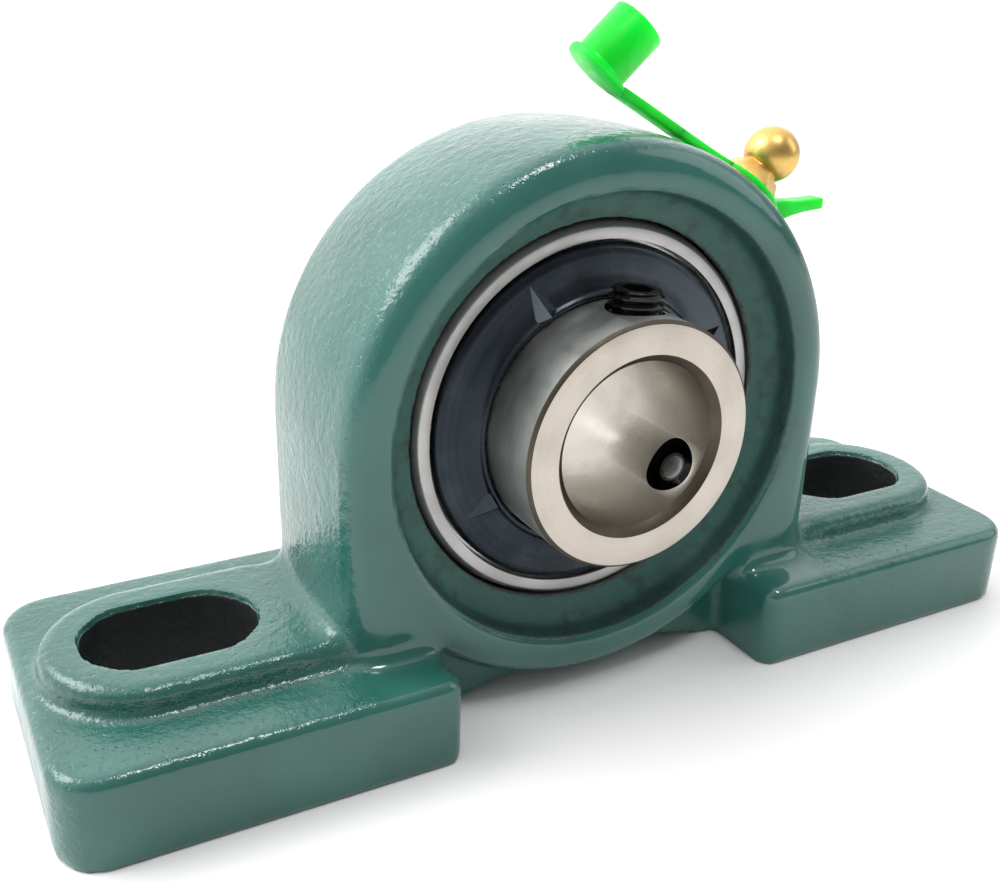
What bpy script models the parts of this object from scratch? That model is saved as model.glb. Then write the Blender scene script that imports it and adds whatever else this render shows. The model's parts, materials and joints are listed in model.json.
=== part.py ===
"""Pillow-block bearing unit: a cast housing holding a self-aligning ball bearing insert.

Metres, +Z up. X runs along the base, -Y is the front (the collar's side), and the origin is the middle
of the underside of the feet. The shaft runs along Y at AXIS_HEIGHT.
"""

from math import asin, atan2, cos, pi, radians, sin, sqrt

import bmesh
import bpy
from mathutils import Matrix, Vector

MM = 0.001

# Housing
AXIS_HEIGHT = 33.3 * MM
BASE_LENGTH = 127 * MM
BASE_DEPTH = 38 * MM
BOLT_SPACING = 95 * MM
SLOT_LENGTH = 19.2 * MM
SLOT_WIDTH = 13 * MM
FOOT_HEIGHT = 10.5 * MM
BOSS_HEIGHT = 13.75 * MM
BOSS_MARGIN = 4.4 * MM
FOOT_INNER_END = 20.8 * MM
FOOT_CORNER = 5.3 * MM
HEAD_RADIUS = 31.4 * MM
HEAD_LOWER_RADIUS = 30.8 * MM
HEAD_HALF_DEPTH = 12.6 * MM
HEAD_CROWN = 0.5 * MM
HEAD_EDGE = 3.2 * MM
WEB_HALF_DEPTH = 9 * MM
RECESS_RADIUS = 26.2 * MM
RECESS_HALF_DEPTH = 8.8 * MM
SEAT_RADIUS = 23.8 * MM
SEAT_HALF_DEPTH = 8.2 * MM
LOADING_SLOT = 17.6 * MM

# Insert
BORE_RADIUS = 9.525 * MM
COLLAR_RADIUS = 14.12 * MM
COLLAR_FRONT = 18.3 * MM
COLLAR_REAR = -12.7 * MM
COLLAR_CHAMFER = 0.9 * MM
OUTER_RADIUS = 23.5 * MM
OUTER_HALF_WIDTH = 8.4 * MM
OUTER_FACE_INNER = 20.41 * MM
OUTER_SHOULDER = 19.3 * MM
SEAL_GROOVE_RADIUS = 20.95 * MM
GROOVE_FORWARD = 2.7 * MM
BALL_RADIUS = 3.969 * MM
PITCH_RADIUS = 16.75 * MM
RACEWAY_RADIUS = 4.09 * MM
BALLS = 8
CAGE_INNER = 15.3 * MM
CAGE_OUTER = 18.2 * MM
CAGE_THICKNESS = 0.6 * MM
CAGE_GAP = 0.12 * MM
POCKET_RADIUS = 4.2 * MM

# Set screws in the collar
SCREW_RADIUS = 3.0 * MM
SCREW_HOLE_RADIUS = 3.25 * MM
SCREW_OFFSET = 13.3 * MM
SCREW_INNER_END = 9.9 * MM
SCREW_LENGTH = 6.35 * MM
SCREW_ANGLES = (85, -35)

# Grease nipple, along a radius of the head
NIPPLE_ANGLE = 45
NIPPLE_FORWARD = 2.7 * MM
NIPPLE_SHANK_END = 27.4 * MM
NIPPLE_HEX_BASE = 33.4 * MM
NIPPLE_HEX_TOP = 35.3 * MM
NIPPLE_HEAD_CENTRE = 38.0 * MM
NIPPLE_HEAD_RADIUS = 3.25 * MM
NIPPLE_BORE_RADIUS = 1.55 * MM
CHECK_BALL_RADIUS = 1.2 * MM
CHECK_BALL_CENTRE = 38.6 * MM

# Dust cap
RING_BASE = 32.2 * MM
RING_THICKNESS = 0.9 * MM
RING_RADIUS = 4.8 * MM
RING_HOLE = 3.2 * MM
STRAP_ROOT = (18.9 * MM, 60.1 * MM)
STRAP_TIP = (4.6 * MM, 67.85 * MM)
STRAP_THICKNESS = 1.0 * MM
STRAP_WIDTH = 3.0 * MM
TAB_END = (35.0 * MM, 53.97 * MM)
CAP_BASE = (1.3 * MM, 70.28 * MM)
CAP_ANGLE = 45
CAP_LEAN = 6
CAP_FLANGE_RADIUS = 3.72 * MM
CAP_FLANGE_THICKNESS = 0.75 * MM
CAP_RADIUS = 3.15 * MM
CAP_LENGTH = 6.88 * MM
CAP_WALL = 0.6 * MM

TURN_STEPS = 44
SMALL_TURN_STEPS = 16
SAME_PLACE = 0.001 * MM


# ---------------------------------------------------------------- helpers


def material(name, colour, roughness, metallic):
    """A plain finish for one kind of surface."""
    made = bpy.data.materials.get(name)
    if made is None:
        made = bpy.data.materials.new(name)
        made.use_nodes = True
        shader = made.node_tree.nodes["Principled BSDF"]
        shader.inputs["Base Color"].default_value = (*colour, 1)
        shader.inputs["Roughness"].default_value = roughness
        shader.inputs["Metallic"].default_value = metallic
    return made


def enamel():
    return material("green_enamel", (0.03, 0.16, 0.14), 0.35, 0.0)


def bright_steel():
    return material("bright_steel", (0.72, 0.71, 0.69), 0.28, 1.0)


def pressed_steel():
    return material("pressed_steel", (0.45, 0.45, 0.46), 0.35, 1.0)


def dark_steel():
    return material("dark_steel", (0.06, 0.065, 0.08), 0.35, 0.9)


def yellow_zinc():
    return material("yellow_zinc", (0.75, 0.6, 0.2), 0.3, 1.0)


def seal_rubber():
    return material("seal_rubber", (0.02, 0.02, 0.02), 0.7, 0.0)


def cap_plastic():
    return material("cap_plastic", (0.05, 0.6, 0.2), 0.4, 0.0)


def put_in_scene(name, mesh, finish):
    thing = bpy.data.objects.new(name, mesh)
    bpy.context.scene.collection.objects.link(thing)
    if finish:
        mesh.materials.append(finish)
    return thing


def finish_mesh(shape, name, finish):
    """Turns a bmesh into an object, with normals outward and round faces shaded smooth."""
    bmesh.ops.recalc_face_normals(shape, faces=shape.faces)
    mesh = bpy.data.meshes.new(name)
    shape.to_mesh(mesh)
    shape.free()
    mesh.shade_smooth()
    mesh.set_sharp_from_angle(angle=radians(35))
    return put_in_scene(name, mesh, finish)


def turned(name, profile, finish, steps=TURN_STEPS, closed=True):
    """A body turned about local Z from (radius, height) points, which run down the outer side."""
    mesh = bpy.data.meshes.new(name)
    edges = [(i, i + 1) for i in range(len(profile) - 1)]
    if closed:
        edges.append((len(profile) - 1, 0))
    mesh.from_pydata([(radius, 0, height) for radius, height in profile], edges, [])
    thing = put_in_scene(name, mesh, finish)
    turn = thing.modifiers.new("Turn", "SCREW")
    turn.steps = steps
    turn.render_steps = steps
    turn.use_merge_vertices = True
    turn.merge_threshold = 0.00001
    return thing


def extruded(name, outline, low, high, finish=None, edge=0.0, steps=2, both_ends=False):
    """A flat outline in XY pushed up from low to high, with its top edge, or both, rounded over."""
    shape = bmesh.new()
    base = shape.faces.new([shape.verts.new((x, y, low)) for x, y in outline])
    pushed = bmesh.ops.extrude_face_region(shape, geom=[base])["geom"]
    top = [v for v in pushed if isinstance(v, bmesh.types.BMVert)]
    bmesh.ops.translate(shape, verts=top, vec=(0, 0, high - low))
    if edge:
        heights = (low, high) if both_ends else (high,)
        flat = [e for e in shape.edges for h in heights if all(abs(v.co.z - h) < SAME_PLACE for v in e.verts)]
        bmesh.ops.bevel(shape, geom=flat, offset=edge, segments=steps, profile=0.5, affect="EDGES")
    return finish_mesh(shape, name, finish)


def arc(centre, radius, start, stop, steps):
    """Points on an arc, in degrees, with both ends."""
    angles = [radians(start + (stop - start) * i / steps) for i in range(steps + 1)]
    return [(centre[0] + radius * cos(a), centre[1] + radius * sin(a)) for a in angles]


def stadium(centre_x, half_straight, radius, steps=12):
    """A slot-shaped outline, long in X."""
    right = arc((centre_x + half_straight, 0), radius, -90, 90, steps)
    left = arc((centre_x - half_straight, 0), radius, 90, 270, steps)
    return right + left


def apply_boolean(target, operation, other):
    """Joins or cuts with a helper object, which stays out of the render."""
    step = target.modifiers.new(other.name, "BOOLEAN")
    step.operation = operation
    step.object = other
    step.solver = "EXACT"
    other.hide_render = True
    other.display_type = "WIRE"


def onto_shaft_axis(thing):
    """Lays an object's local Z along the shaft, towards the front, at the shaft's height."""
    thing.location = (0, 0, AXIS_HEIGHT)
    thing.rotation_euler = (radians(90), 0, 0)
    return thing


def along_radius(thing, angle, forward=0.0):
    """Points an object's local Z outward along a radius of the bearing, at an angle above +X."""
    thing.location = (0, -forward, AXIS_HEIGHT)
    thing.rotation_euler = (0, radians(90 - angle), 0)
    return thing


def sphere_radius(radius, height):
    """The radius of a sphere's section at a height from its centre."""
    return sqrt(radius * radius - height * height)


# ---------------------------------------------------------------- housing


def head_outline():
    """The head from the front: a half circle over straight sides, and an arc between the feet."""
    corner = FOOT_INNER_END + 0.3 * MM
    start = -90 + asin(corner / HEAD_LOWER_RADIUS) * 180 / pi
    over_the_top = arc((0, AXIS_HEIGHT), HEAD_RADIUS, 0, 180, 28)
    underneath = arc((0, AXIS_HEIGHT), HEAD_LOWER_RADIUS, -180 - start, start, 12)
    left_foot = [(-HEAD_RADIUS, 4 * MM), (-corner, 4 * MM)]
    right_foot = [(corner, 4 * MM), (HEAD_RADIUS, 4 * MM)]
    return over_the_top + left_foot + underneath + right_foot


def web_outline():
    """The web between the feet from the front, arched along its underside."""
    side = FOOT_INNER_END + 1 * MM
    rise = 2.8 * MM
    reach = 19 * MM
    arch = [(x, rise * (1 - (x / reach) ** 2)) for x in (-reach + reach * i / 5 for i in range(11))]
    return [(side, 16 * MM), (-side, 16 * MM), (-side, 0)] + arch + [(side, 0)]


def foot_outline(side):
    """One foot in plan, with the outer corners rounded more than the inner ones."""
    outer = BASE_LENGTH / 2 - FOOT_CORNER
    inner_corner = 2 * MM
    inner = FOOT_INNER_END + inner_corner
    depth = BASE_DEPTH / 2
    points = arc((outer, depth - FOOT_CORNER), FOOT_CORNER, 0, 90, 5)
    points += arc((inner, depth - inner_corner), inner_corner, 90, 180, 3)
    points += arc((inner, inner_corner - depth), inner_corner, 180, 270, 3)
    points += arc((outer, FOOT_CORNER - depth), FOOT_CORNER, 270, 360, 5)
    return points if side > 0 else [(-x, y) for x, y in reversed(points)]


def boss_outline(side):
    """The raised boss round a bolt slot, running back into the head."""
    radius = SLOT_WIDTH / 2 + BOSS_MARGIN
    outer = BOLT_SPACING / 2 + (SLOT_LENGTH - SLOT_WIDTH) / 2
    points = arc((outer, 0), radius, -90, 90, 14) + [(27 * MM, radius), (27 * MM, -radius)]
    return points if side > 0 else [(-x, y) for x, y in reversed(points)]


def insert_space():
    """The cutter for the spherical seat and the set-back band on both sides of it."""
    mouth = sphere_radius(SEAT_RADIUS, SEAT_HALF_DEPTH)
    front = [
        (0, 20 * MM),
        (RECESS_RADIUS + 0.5 * MM, 20 * MM),
        (RECESS_RADIUS, HEAD_HALF_DEPTH - 0.4 * MM),
        (RECESS_RADIUS - 0.5 * MM, RECESS_HALF_DEPTH + 0.6 * MM),
        (RECESS_RADIUS - 1.1 * MM, RECESS_HALF_DEPTH),
        (mouth, SEAT_HALF_DEPTH),
    ]
    seat = [(sphere_radius(SEAT_RADIUS, h * MM), h * MM) for h in (6, 4, 2, 0, -2, -4, -6)]
    rear = [(radius, -height) for radius, height in reversed(front)]
    cutter = turned("insert_space_cutter", front + seat + rear, None, closed=False)
    return onto_shaft_axis(cutter)


def loading_slots():
    """The cutter for the two slots at the back through which the insert goes in edgeways."""
    half = LOADING_SLOT / 2
    reach = SEAT_RADIUS - 0.1 * MM
    outline = [(-reach, -half), (reach, -half), (reach, half), (-reach, half)]
    cutter = extruded("loading_slot_cutter", outline, -20 * MM, -0.5 * MM)
    return onto_shaft_axis(cutter)


def grease_way():
    """The cutter for the nipple's hole and the narrower way on into the seat."""
    hole, way = 3.1 * MM, 1.3 * MM
    profile = [
        (0, 40 * MM),
        (hole, 40 * MM),
        (hole, NIPPLE_SHANK_END - 0.3 * MM),
        (way, NIPPLE_SHANK_END - 1.1 * MM),
        (way, 20 * MM),
        (0, 20 * MM),
    ]
    cutter = turned("grease_way_cutter", profile, None, 16, closed=False)
    return along_radius(cutter, NIPPLE_ANGLE, NIPPLE_FORWARD)


def crown(head):
    """Swells the head slightly at its middle, as a casting does towards the line where its moulds part."""
    shape = bmesh.new()
    shape.from_mesh(head.data)
    everything = shape.verts[:] + shape.edges[:] + shape.faces[:]
    bmesh.ops.bisect_plane(shape, geom=everything, plane_co=(0, 0, 0), plane_no=(0, 0, 1))
    for point in shape.verts:
        outward = Vector((point.co.x, max(point.co.y - AXIS_HEIGHT, 0), 0))
        if abs(point.co.z) < 0.01 * MM and outward.length > HEAD_RADIUS - 0.1 * MM:
            point.co += outward.normalized() * HEAD_CROWN
    shape.to_mesh(head.data)
    shape.free()


def make_housing():
    depth = HEAD_HALF_DEPTH
    head = extruded("housing", head_outline(), -depth, depth, enamel(), HEAD_EDGE, 2, both_ends=True)
    crown(head)
    head.data.transform(Matrix.Rotation(radians(90), 4, "X"))
    web = extruded("web_body", web_outline(), -WEB_HALF_DEPTH, WEB_HALF_DEPTH)
    web.rotation_euler = (radians(90), 0, 0)
    apply_boolean(head, "UNION", web)
    for side, label in ((1, "right"), (-1, "left")):
        foot = extruded(f"{label}_foot_body", foot_outline(side), 0, FOOT_HEIGHT, edge=1.2 * MM)
        boss = extruded(f"{label}_boss_body", boss_outline(side), 1 * MM, BOSS_HEIGHT, edge=1.2 * MM)
        apply_boolean(head, "UNION", foot)
        apply_boolean(head, "UNION", boss)
    for side, label in ((1, "right"), (-1, "left")):
        half_straight = (SLOT_LENGTH - SLOT_WIDTH) / 2
        outline = stadium(side * BOLT_SPACING / 2, half_straight, SLOT_WIDTH / 2)
        apply_boolean(head, "DIFFERENCE", extruded(f"{label}_slot_cutter", outline, -5 * MM, 25 * MM))
    apply_boolean(head, "DIFFERENCE", insert_space())
    apply_boolean(head, "DIFFERENCE", loading_slots())
    apply_boolean(head, "DIFFERENCE", grease_way())
    return head


# ---------------------------------------------------------------- rings, balls and cage


def make_outer_ring():
    """The outer ring: a spherical outside with a grease groove, and a seal groove at each side."""
    race_reach = sqrt(RACEWAY_RADIUS**2 - (OUTER_SHOULDER - PITCH_RADIUS) ** 2)
    half = [
        (OUTER_FACE_INNER, OUTER_HALF_WIDTH),
        (21.7 * MM, OUTER_HALF_WIDTH),
        (sphere_radius(OUTER_RADIUS, 8 * MM), 8 * MM),
    ]
    groove = [
        (sphere_radius(OUTER_RADIUS, GROOVE_FORWARD + 1.3 * MM), GROOVE_FORWARD + 1.3 * MM),
        (22.75 * MM, GROOVE_FORWARD + 1 * MM),
        (22.75 * MM, GROOVE_FORWARD - 1 * MM),
        (sphere_radius(OUTER_RADIUS, GROOVE_FORWARD - 1.3 * MM), GROOVE_FORWARD - 1.3 * MM),
        (sphere_radius(OUTER_RADIUS, -2 * MM), -2 * MM),
        (sphere_radius(OUTER_RADIUS, -5 * MM), -5 * MM),
    ]
    inner_half = [
        (OUTER_FACE_INNER, -7.25 * MM),
        (SEAL_GROOVE_RADIUS, -7.05 * MM),
        (SEAL_GROOVE_RADIUS, -6.15 * MM),
        (OUTER_SHOULDER, -5.8 * MM),
        (OUTER_SHOULDER, -race_reach),
        (PITCH_RADIUS + sphere_radius(RACEWAY_RADIUS, 1.8 * MM), -1.8 * MM),
    ]
    outside = half + groove + [(radius, -height) for radius, height in reversed(half)]
    middle = [(PITCH_RADIUS + RACEWAY_RADIUS, 0)]
    inside = inner_half + middle + [(radius, -height) for radius, height in reversed(inner_half)]
    return onto_shaft_axis(turned("outer_ring", outside + inside, bright_steel()))


def make_inner_ring():
    """The wide inner ring, with its collar at the front and two screw holes through it."""
    race_reach = sqrt(RACEWAY_RADIUS**2 - (PITCH_RADIUS - COLLAR_RADIUS) ** 2)
    race_mid = PITCH_RADIUS - sphere_radius(RACEWAY_RADIUS, 1.8 * MM)
    small = 0.4 * MM
    profile = [
        (BORE_RADIUS + COLLAR_CHAMFER, COLLAR_FRONT),
        (COLLAR_RADIUS - small, COLLAR_FRONT),
        (COLLAR_RADIUS, COLLAR_FRONT - small),
        (COLLAR_RADIUS, race_reach),
        (race_mid, 1.8 * MM),
        (PITCH_RADIUS - RACEWAY_RADIUS, 0),
        (race_mid, -1.8 * MM),
        (COLLAR_RADIUS, -race_reach),
        (COLLAR_RADIUS, COLLAR_REAR + small),
        (COLLAR_RADIUS - small, COLLAR_REAR),
        (BORE_RADIUS + COLLAR_CHAMFER, COLLAR_REAR),
        (BORE_RADIUS, COLLAR_REAR + COLLAR_CHAMFER),
        (BORE_RADIUS, COLLAR_FRONT - COLLAR_CHAMFER),
    ]
    ring = onto_shaft_axis(turned("inner_ring", profile, bright_steel()))
    for number, angle in enumerate(SCREW_ANGLES, 1):
        hole = [(0, 18 * MM), (SCREW_HOLE_RADIUS, 18 * MM), (SCREW_HOLE_RADIUS, 7 * MM), (0, 7 * MM)]
        cutter = turned(f"screw_hole_{number}_cutter", hole, None, 20, closed=False)
        apply_boolean(ring, "DIFFERENCE", along_radius(cutter, angle, SCREW_OFFSET))
    return ring


def make_balls():
    """Eight balls on the pitch circle, the first at the top."""
    for number in range(BALLS):
        angle = pi / 2 + 2 * pi * number / BALLS
        shape = bmesh.new()
        bmesh.ops.create_uvsphere(shape, u_segments=16, v_segments=8, radius=BALL_RADIUS)
        ball = finish_mesh(shape, f"ball_{number + 1}", bright_steel())
        ball.data.set_sharp_from_angle(angle=pi)
        ball.location = (PITCH_RADIUS * cos(angle), 0, AXIS_HEIGHT + PITCH_RADIUS * sin(angle))
        ball.rotation_euler = (radians(90), 0, 0)


def cage_height(offset, radius, flat):
    """How far a ribbon surface stands from the middle plane, at an offset along the pitch circle."""
    if abs(offset) >= sqrt(radius * radius - flat * flat):
        return flat
    return sqrt(radius * radius - offset * offset)


def make_cage_half(name, side):
    """A pressed ribbon: flat tabs between the balls and half-round pockets over them."""
    outer_pocket = POCKET_RADIUS + CAGE_THICKNESS
    pitch_arc = 2 * pi * PITCH_RADIUS / BALLS
    stations = (-81, -65, -40, -14, 14, 40, 65, 81)
    offsets = [outer_pocket * sin(radians(station)) for station in stations] + [pitch_arc / 2]
    rows = []
    shape = bmesh.new()
    for number in range(BALLS):
        for offset in offsets:
            angle = pi / 2 + (2 * pi * number / BALLS) + offset / PITCH_RADIUS
            near = cage_height(offset, POCKET_RADIUS, CAGE_GAP)
            far = cage_height(offset, outer_pocket, CAGE_GAP + CAGE_THICKNESS)
            corners = ((CAGE_INNER, near), (CAGE_OUTER, near), (CAGE_OUTER, far), (CAGE_INNER, far))
            rows.append([shape.verts.new((r * cos(angle), side * h, r * sin(angle))) for r, h in corners])
    for here, ahead in zip(rows, rows[1:] + rows[:1]):
        for i in range(4):
            shape.faces.new((here[i], here[i - 3], ahead[i - 3], ahead[i]))
    half = finish_mesh(shape, name, pressed_steel())
    half.location = (0, 0, AXIS_HEIGHT)
    holes = bmesh.new()
    for number in range(BALLS):
        angle = pi / 2 + 2 * pi * (number + 0.5) / BALLS
        place = Matrix.Translation((PITCH_RADIUS * cos(angle), 0, PITCH_RADIUS * sin(angle)))
        upright = place @ Matrix.Rotation(radians(90), 4, "X")
        hole = 0.75 * MM
        bmesh.ops.create_cone(
            holes, cap_ends=True, segments=8, radius1=hole, radius2=hole, depth=4 * MM, matrix=upright
        )
    cutter = finish_mesh(holes, f"{name}_hole_cutter", None)
    cutter.location = half.location
    apply_boolean(half, "DIFFERENCE", cutter)
    return half


def make_rivets():
    """A rivet through the two ribbons between each pair of balls."""
    head, shank = 1.05 * MM, 0.55 * MM
    under, top = 0.84 * MM, 1.3 * MM
    half = [(0, top), (head * 0.7, top - 0.1 * MM), (head, under), (shank, under)]
    profile = half + [(radius, -height) for radius, height in reversed(half)]
    for number in range(BALLS):
        angle = pi / 2 + 2 * pi * (number + 0.5) / BALLS
        rivet = turned(f"cage_rivet_{number + 1}", profile, pressed_steel(), 8, closed=False)
        rivet.location = (PITCH_RADIUS * cos(angle), 0, AXIS_HEIGHT + PITCH_RADIUS * sin(angle))
        rivet.rotation_euler = (radians(90), 0, 0)


def mirrored(profile, side):
    """A profile for the front, or the same one for the rear."""
    return profile if side > 0 else [(radius, -height) for radius, height in reversed(profile)]


def make_seal(label, side):
    """The steel plate that snaps into the outer ring, and the rubber lip on its inner edge."""
    plate = [(15.4, 6.85), (20.7, 6.85), (20.7, 6.35), (15.4, 6.35)]
    lip = [(14.4, 5.95), (15, 6.15), (17.6, 6.15), (17.6, 5.4), (15.2, 5.4), (14.4, 5.7)]
    for name, points, finish in (("plate", plate, pressed_steel()), ("lip", lip, seal_rubber())):
        profile = mirrored([(radius * MM, height * MM) for radius, height in points], side)
        onto_shaft_axis(turned(f"seal_{name}_{label}", profile, finish, 36))


def make_flinger(label, side):
    """The dished disc that turns with the inner ring, with a rolled neck that grips the collar."""
    points = [
        (14.32, 9.7),
        (14.75, 9.7),
        (15.1, 9.25),
        (19.5, 8.75),
        (20.05, 8.3),
        (20.05, 7.6),
        (19.55, 7.6),
        (19.4, 8.15),
        (14.32, 8.6),
    ]
    profile = mirrored([(radius * MM, height * MM) for radius, height in points], side)
    onto_shaft_axis(turned(f"flinger_{label}", profile, dark_steel()))


def make_set_screws():
    """Two cup-point socket screws in the collar."""
    tip, top = SCREW_INNER_END, SCREW_INNER_END + SCREW_LENGTH
    cup = 1.4 * MM
    for number, angle in enumerate(SCREW_ANGLES, 1):
        profile = [
            (0, top),
            (SCREW_RADIUS - 0.4 * MM, top),
            (SCREW_RADIUS, top - 0.4 * MM),
            (SCREW_RADIUS, tip + 1.1 * MM),
            (cup + 0.35 * MM, tip),
            (cup, tip),
            (0, tip + 0.8 * MM),
        ]
        name = f"set_screw_{number}"
        screw = turned(name, profile, dark_steel(), SMALL_TURN_STEPS, closed=False)
        along_radius(screw, angle, SCREW_OFFSET)
        hexagon = arc((0, 0), 1.83 * MM, 0, 300, 5)
        socket = extruded(f"{name}_socket_cutter", hexagon, top - 2.6 * MM, top + 1 * MM)
        apply_boolean(screw, "DIFFERENCE", along_radius(socket, angle, SCREW_OFFSET))


# ---------------------------------------------------------------- grease nipple


def make_nipple():
    """The nipple: shank, six-sided flared base, neck and ball head, bored right through."""
    tip = NIPPLE_HEAD_CENTRE + NIPPLE_HEAD_RADIUS
    neck, shank, mouth, way = 2.1 * MM, 2.85 * MM, 0.8 * MM, 0.9 * MM
    bore = NIPPLE_BORE_RADIUS
    spring_seat = 32.1 * MM
    head = arc((0, NIPPLE_HEAD_CENTRE), NIPPLE_HEAD_RADIUS, 66, -42, 5)
    outside = [
        (mouth, tip - 0.2 * MM),
        *head,
        (neck, NIPPLE_HEX_TOP + 0.3 * MM),
        (neck, NIPPLE_HEX_TOP - 0.2 * MM),
        (shank, NIPPLE_HEX_BASE + 0.5 * MM),
        (shank, NIPPLE_SHANK_END + 0.5 * MM),
        (shank - 0.5 * MM, NIPPLE_SHANK_END),
    ]
    inside = [(way, NIPPLE_SHANK_END), (way, spring_seat - 0.2 * MM), (bore, spring_seat)]
    inside += [(bore, CHECK_BALL_CENTRE + 0.5 * MM), (mouth, CHECK_BALL_CENTRE + 1.5 * MM)]
    nipple = turned("grease_nipple", outside + inside, yellow_zinc(), SMALL_TURN_STEPS)
    shape = bmesh.new()
    height = NIPPLE_HEX_TOP - NIPPLE_HEX_BASE
    middle = Matrix.Translation((0, 0, NIPPLE_HEX_BASE + height / 2)) @ Matrix.Rotation(radians(20), 4, "Z")
    bmesh.ops.create_cone(
        shape, cap_ends=True, segments=6, radius1=4 * MM, radius2=2.7 * MM, depth=height, matrix=middle
    )
    hexagon = along_radius(finish_mesh(shape, "nipple_hex_body", None), NIPPLE_ANGLE, NIPPLE_FORWARD)
    opening = [(0, tip - 3 * MM), (bore, tip - 3 * MM), (bore, spring_seat), (0, spring_seat)]
    bore_cutter = turned("nipple_bore_cutter", opening, None, SMALL_TURN_STEPS, closed=False)
    apply_boolean(hexagon, "DIFFERENCE", along_radius(bore_cutter, NIPPLE_ANGLE, NIPPLE_FORWARD))
    apply_boolean(nipple, "UNION", hexagon)
    return along_radius(nipple, NIPPLE_ANGLE, NIPPLE_FORWARD)


def make_check_ball():
    """The ball that closes the nipple's mouth, just under its seat."""
    shape = bmesh.new()
    bmesh.ops.create_uvsphere(shape, u_segments=12, v_segments=8, radius=CHECK_BALL_RADIUS)
    ball = finish_mesh(shape, "nipple_check_ball", bright_steel())
    angle = radians(NIPPLE_ANGLE)
    away = CHECK_BALL_CENTRE
    ball.location = (away * cos(angle), -NIPPLE_FORWARD, AXIS_HEIGHT + away * sin(angle))


def make_check_spring():
    """The small coil spring that holds the check ball against its seat."""
    turns, per_turn, wire = 4, 9, 0.16 * MM
    radius = 1.15 * MM
    low = 32.35 * MM
    high = CHECK_BALL_CENTRE - CHECK_BALL_RADIUS - wire - 0.15 * MM
    curve = bpy.data.curves.new("nipple_spring", "CURVE")
    curve.dimensions = "3D"
    curve.bevel_depth = wire
    curve.bevel_resolution = 0
    curve.use_fill_caps = True
    coil = curve.splines.new("POLY")
    coil.points.add(turns * per_turn)
    for i, point in enumerate(coil.points):
        angle = 2 * pi * i / per_turn
        height = low + (high - low) * i / (turns * per_turn)
        point.co = (radius * cos(angle), radius * sin(angle), height, 1)
    spring = bpy.data.objects.new("nipple_spring", curve)
    bpy.context.scene.collection.objects.link(spring)
    curve.materials.append(bright_steel())
    along_radius(spring, NIPPLE_ANGLE, NIPPLE_FORWARD)


# ---------------------------------------------------------------- dust cap


def make_cap_ring():
    """The ring held under the nipple, with the root of the strap on one side and a pull tab on the other."""
    half_width = STRAP_WIDTH / 2
    root_end = 5.6 * MM
    bend = asin(half_width / RING_RADIUS) * 180 / pi
    outline = arc((0, 0), RING_RADIUS, -180 + bend, 180 - bend, 18)
    outline += [(-root_end, half_width), (-root_end, -half_width)]
    ring = extruded("dust_cap_ring", outline, RING_BASE, RING_BASE + RING_THICKNESS, cap_plastic())
    hole_profile = [(0, 35 * MM), (RING_HOLE, 35 * MM), (RING_HOLE, 31 * MM), (0, 31 * MM)]
    hole = turned("ring_hole_cutter", hole_profile, None, SMALL_TURN_STEPS, closed=False)
    along_radius(ring, NIPPLE_ANGLE, NIPPLE_FORWARD)
    apply_boolean(ring, "UNION", make_tab_body())
    apply_boolean(ring, "DIFFERENCE", along_radius(hole, NIPPLE_ANGLE, NIPPLE_FORWARD))


def make_tab_body():
    """The pull tab: a round tail that narrows away from the ring."""
    angle = radians(NIPPLE_ANGLE)
    away = RING_BASE + RING_THICKNESS / 2
    along = RING_RADIUS - 0.3 * MM
    start_x = away * cos(angle) + along * sin(angle)
    start_z = AXIS_HEIGHT + away * sin(angle) - along * cos(angle)
    start = Vector((start_x, -NIPPLE_FORWARD, start_z))
    run = Vector((TAB_END[0], -NIPPLE_FORWARD, TAB_END[1])) - start
    length = run.length
    half = [
        (0, length),
        (0.65 * MM, length),
        (0.6 * MM, length * 0.75),
        (0.8 * MM, length * 0.4),
        (0.75 * MM, 0),
        (0, 0),
    ]
    tab = turned("tab_body", half, None, 10, closed=False)
    tab.location = start
    tab.rotation_mode = "QUATERNION"
    tab.rotation_quaternion = run.to_track_quat("Z", "Y")
    return tab


def make_strap():
    """The flexible strip between the ring and the cap. Its origin is the bend at the ring's end."""
    run = Vector((STRAP_TIP[0] - STRAP_ROOT[0], 0, STRAP_TIP[1] - STRAP_ROOT[1]))
    near, far = 0.9 * MM, run.length - 0.6 * MM
    half_width = STRAP_WIDTH / 2
    outline = [(near, -half_width), (far, -half_width), (far, half_width), (near, half_width)]
    half = STRAP_THICKNESS / 2
    strap = extruded("dust_cap_strap", outline, -half, half, cap_plastic())
    strap.location = (STRAP_ROOT[0], -NIPPLE_FORWARD, STRAP_ROOT[1])
    strap.rotation_euler = (0, -atan2(run.z, run.x), 0)


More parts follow.
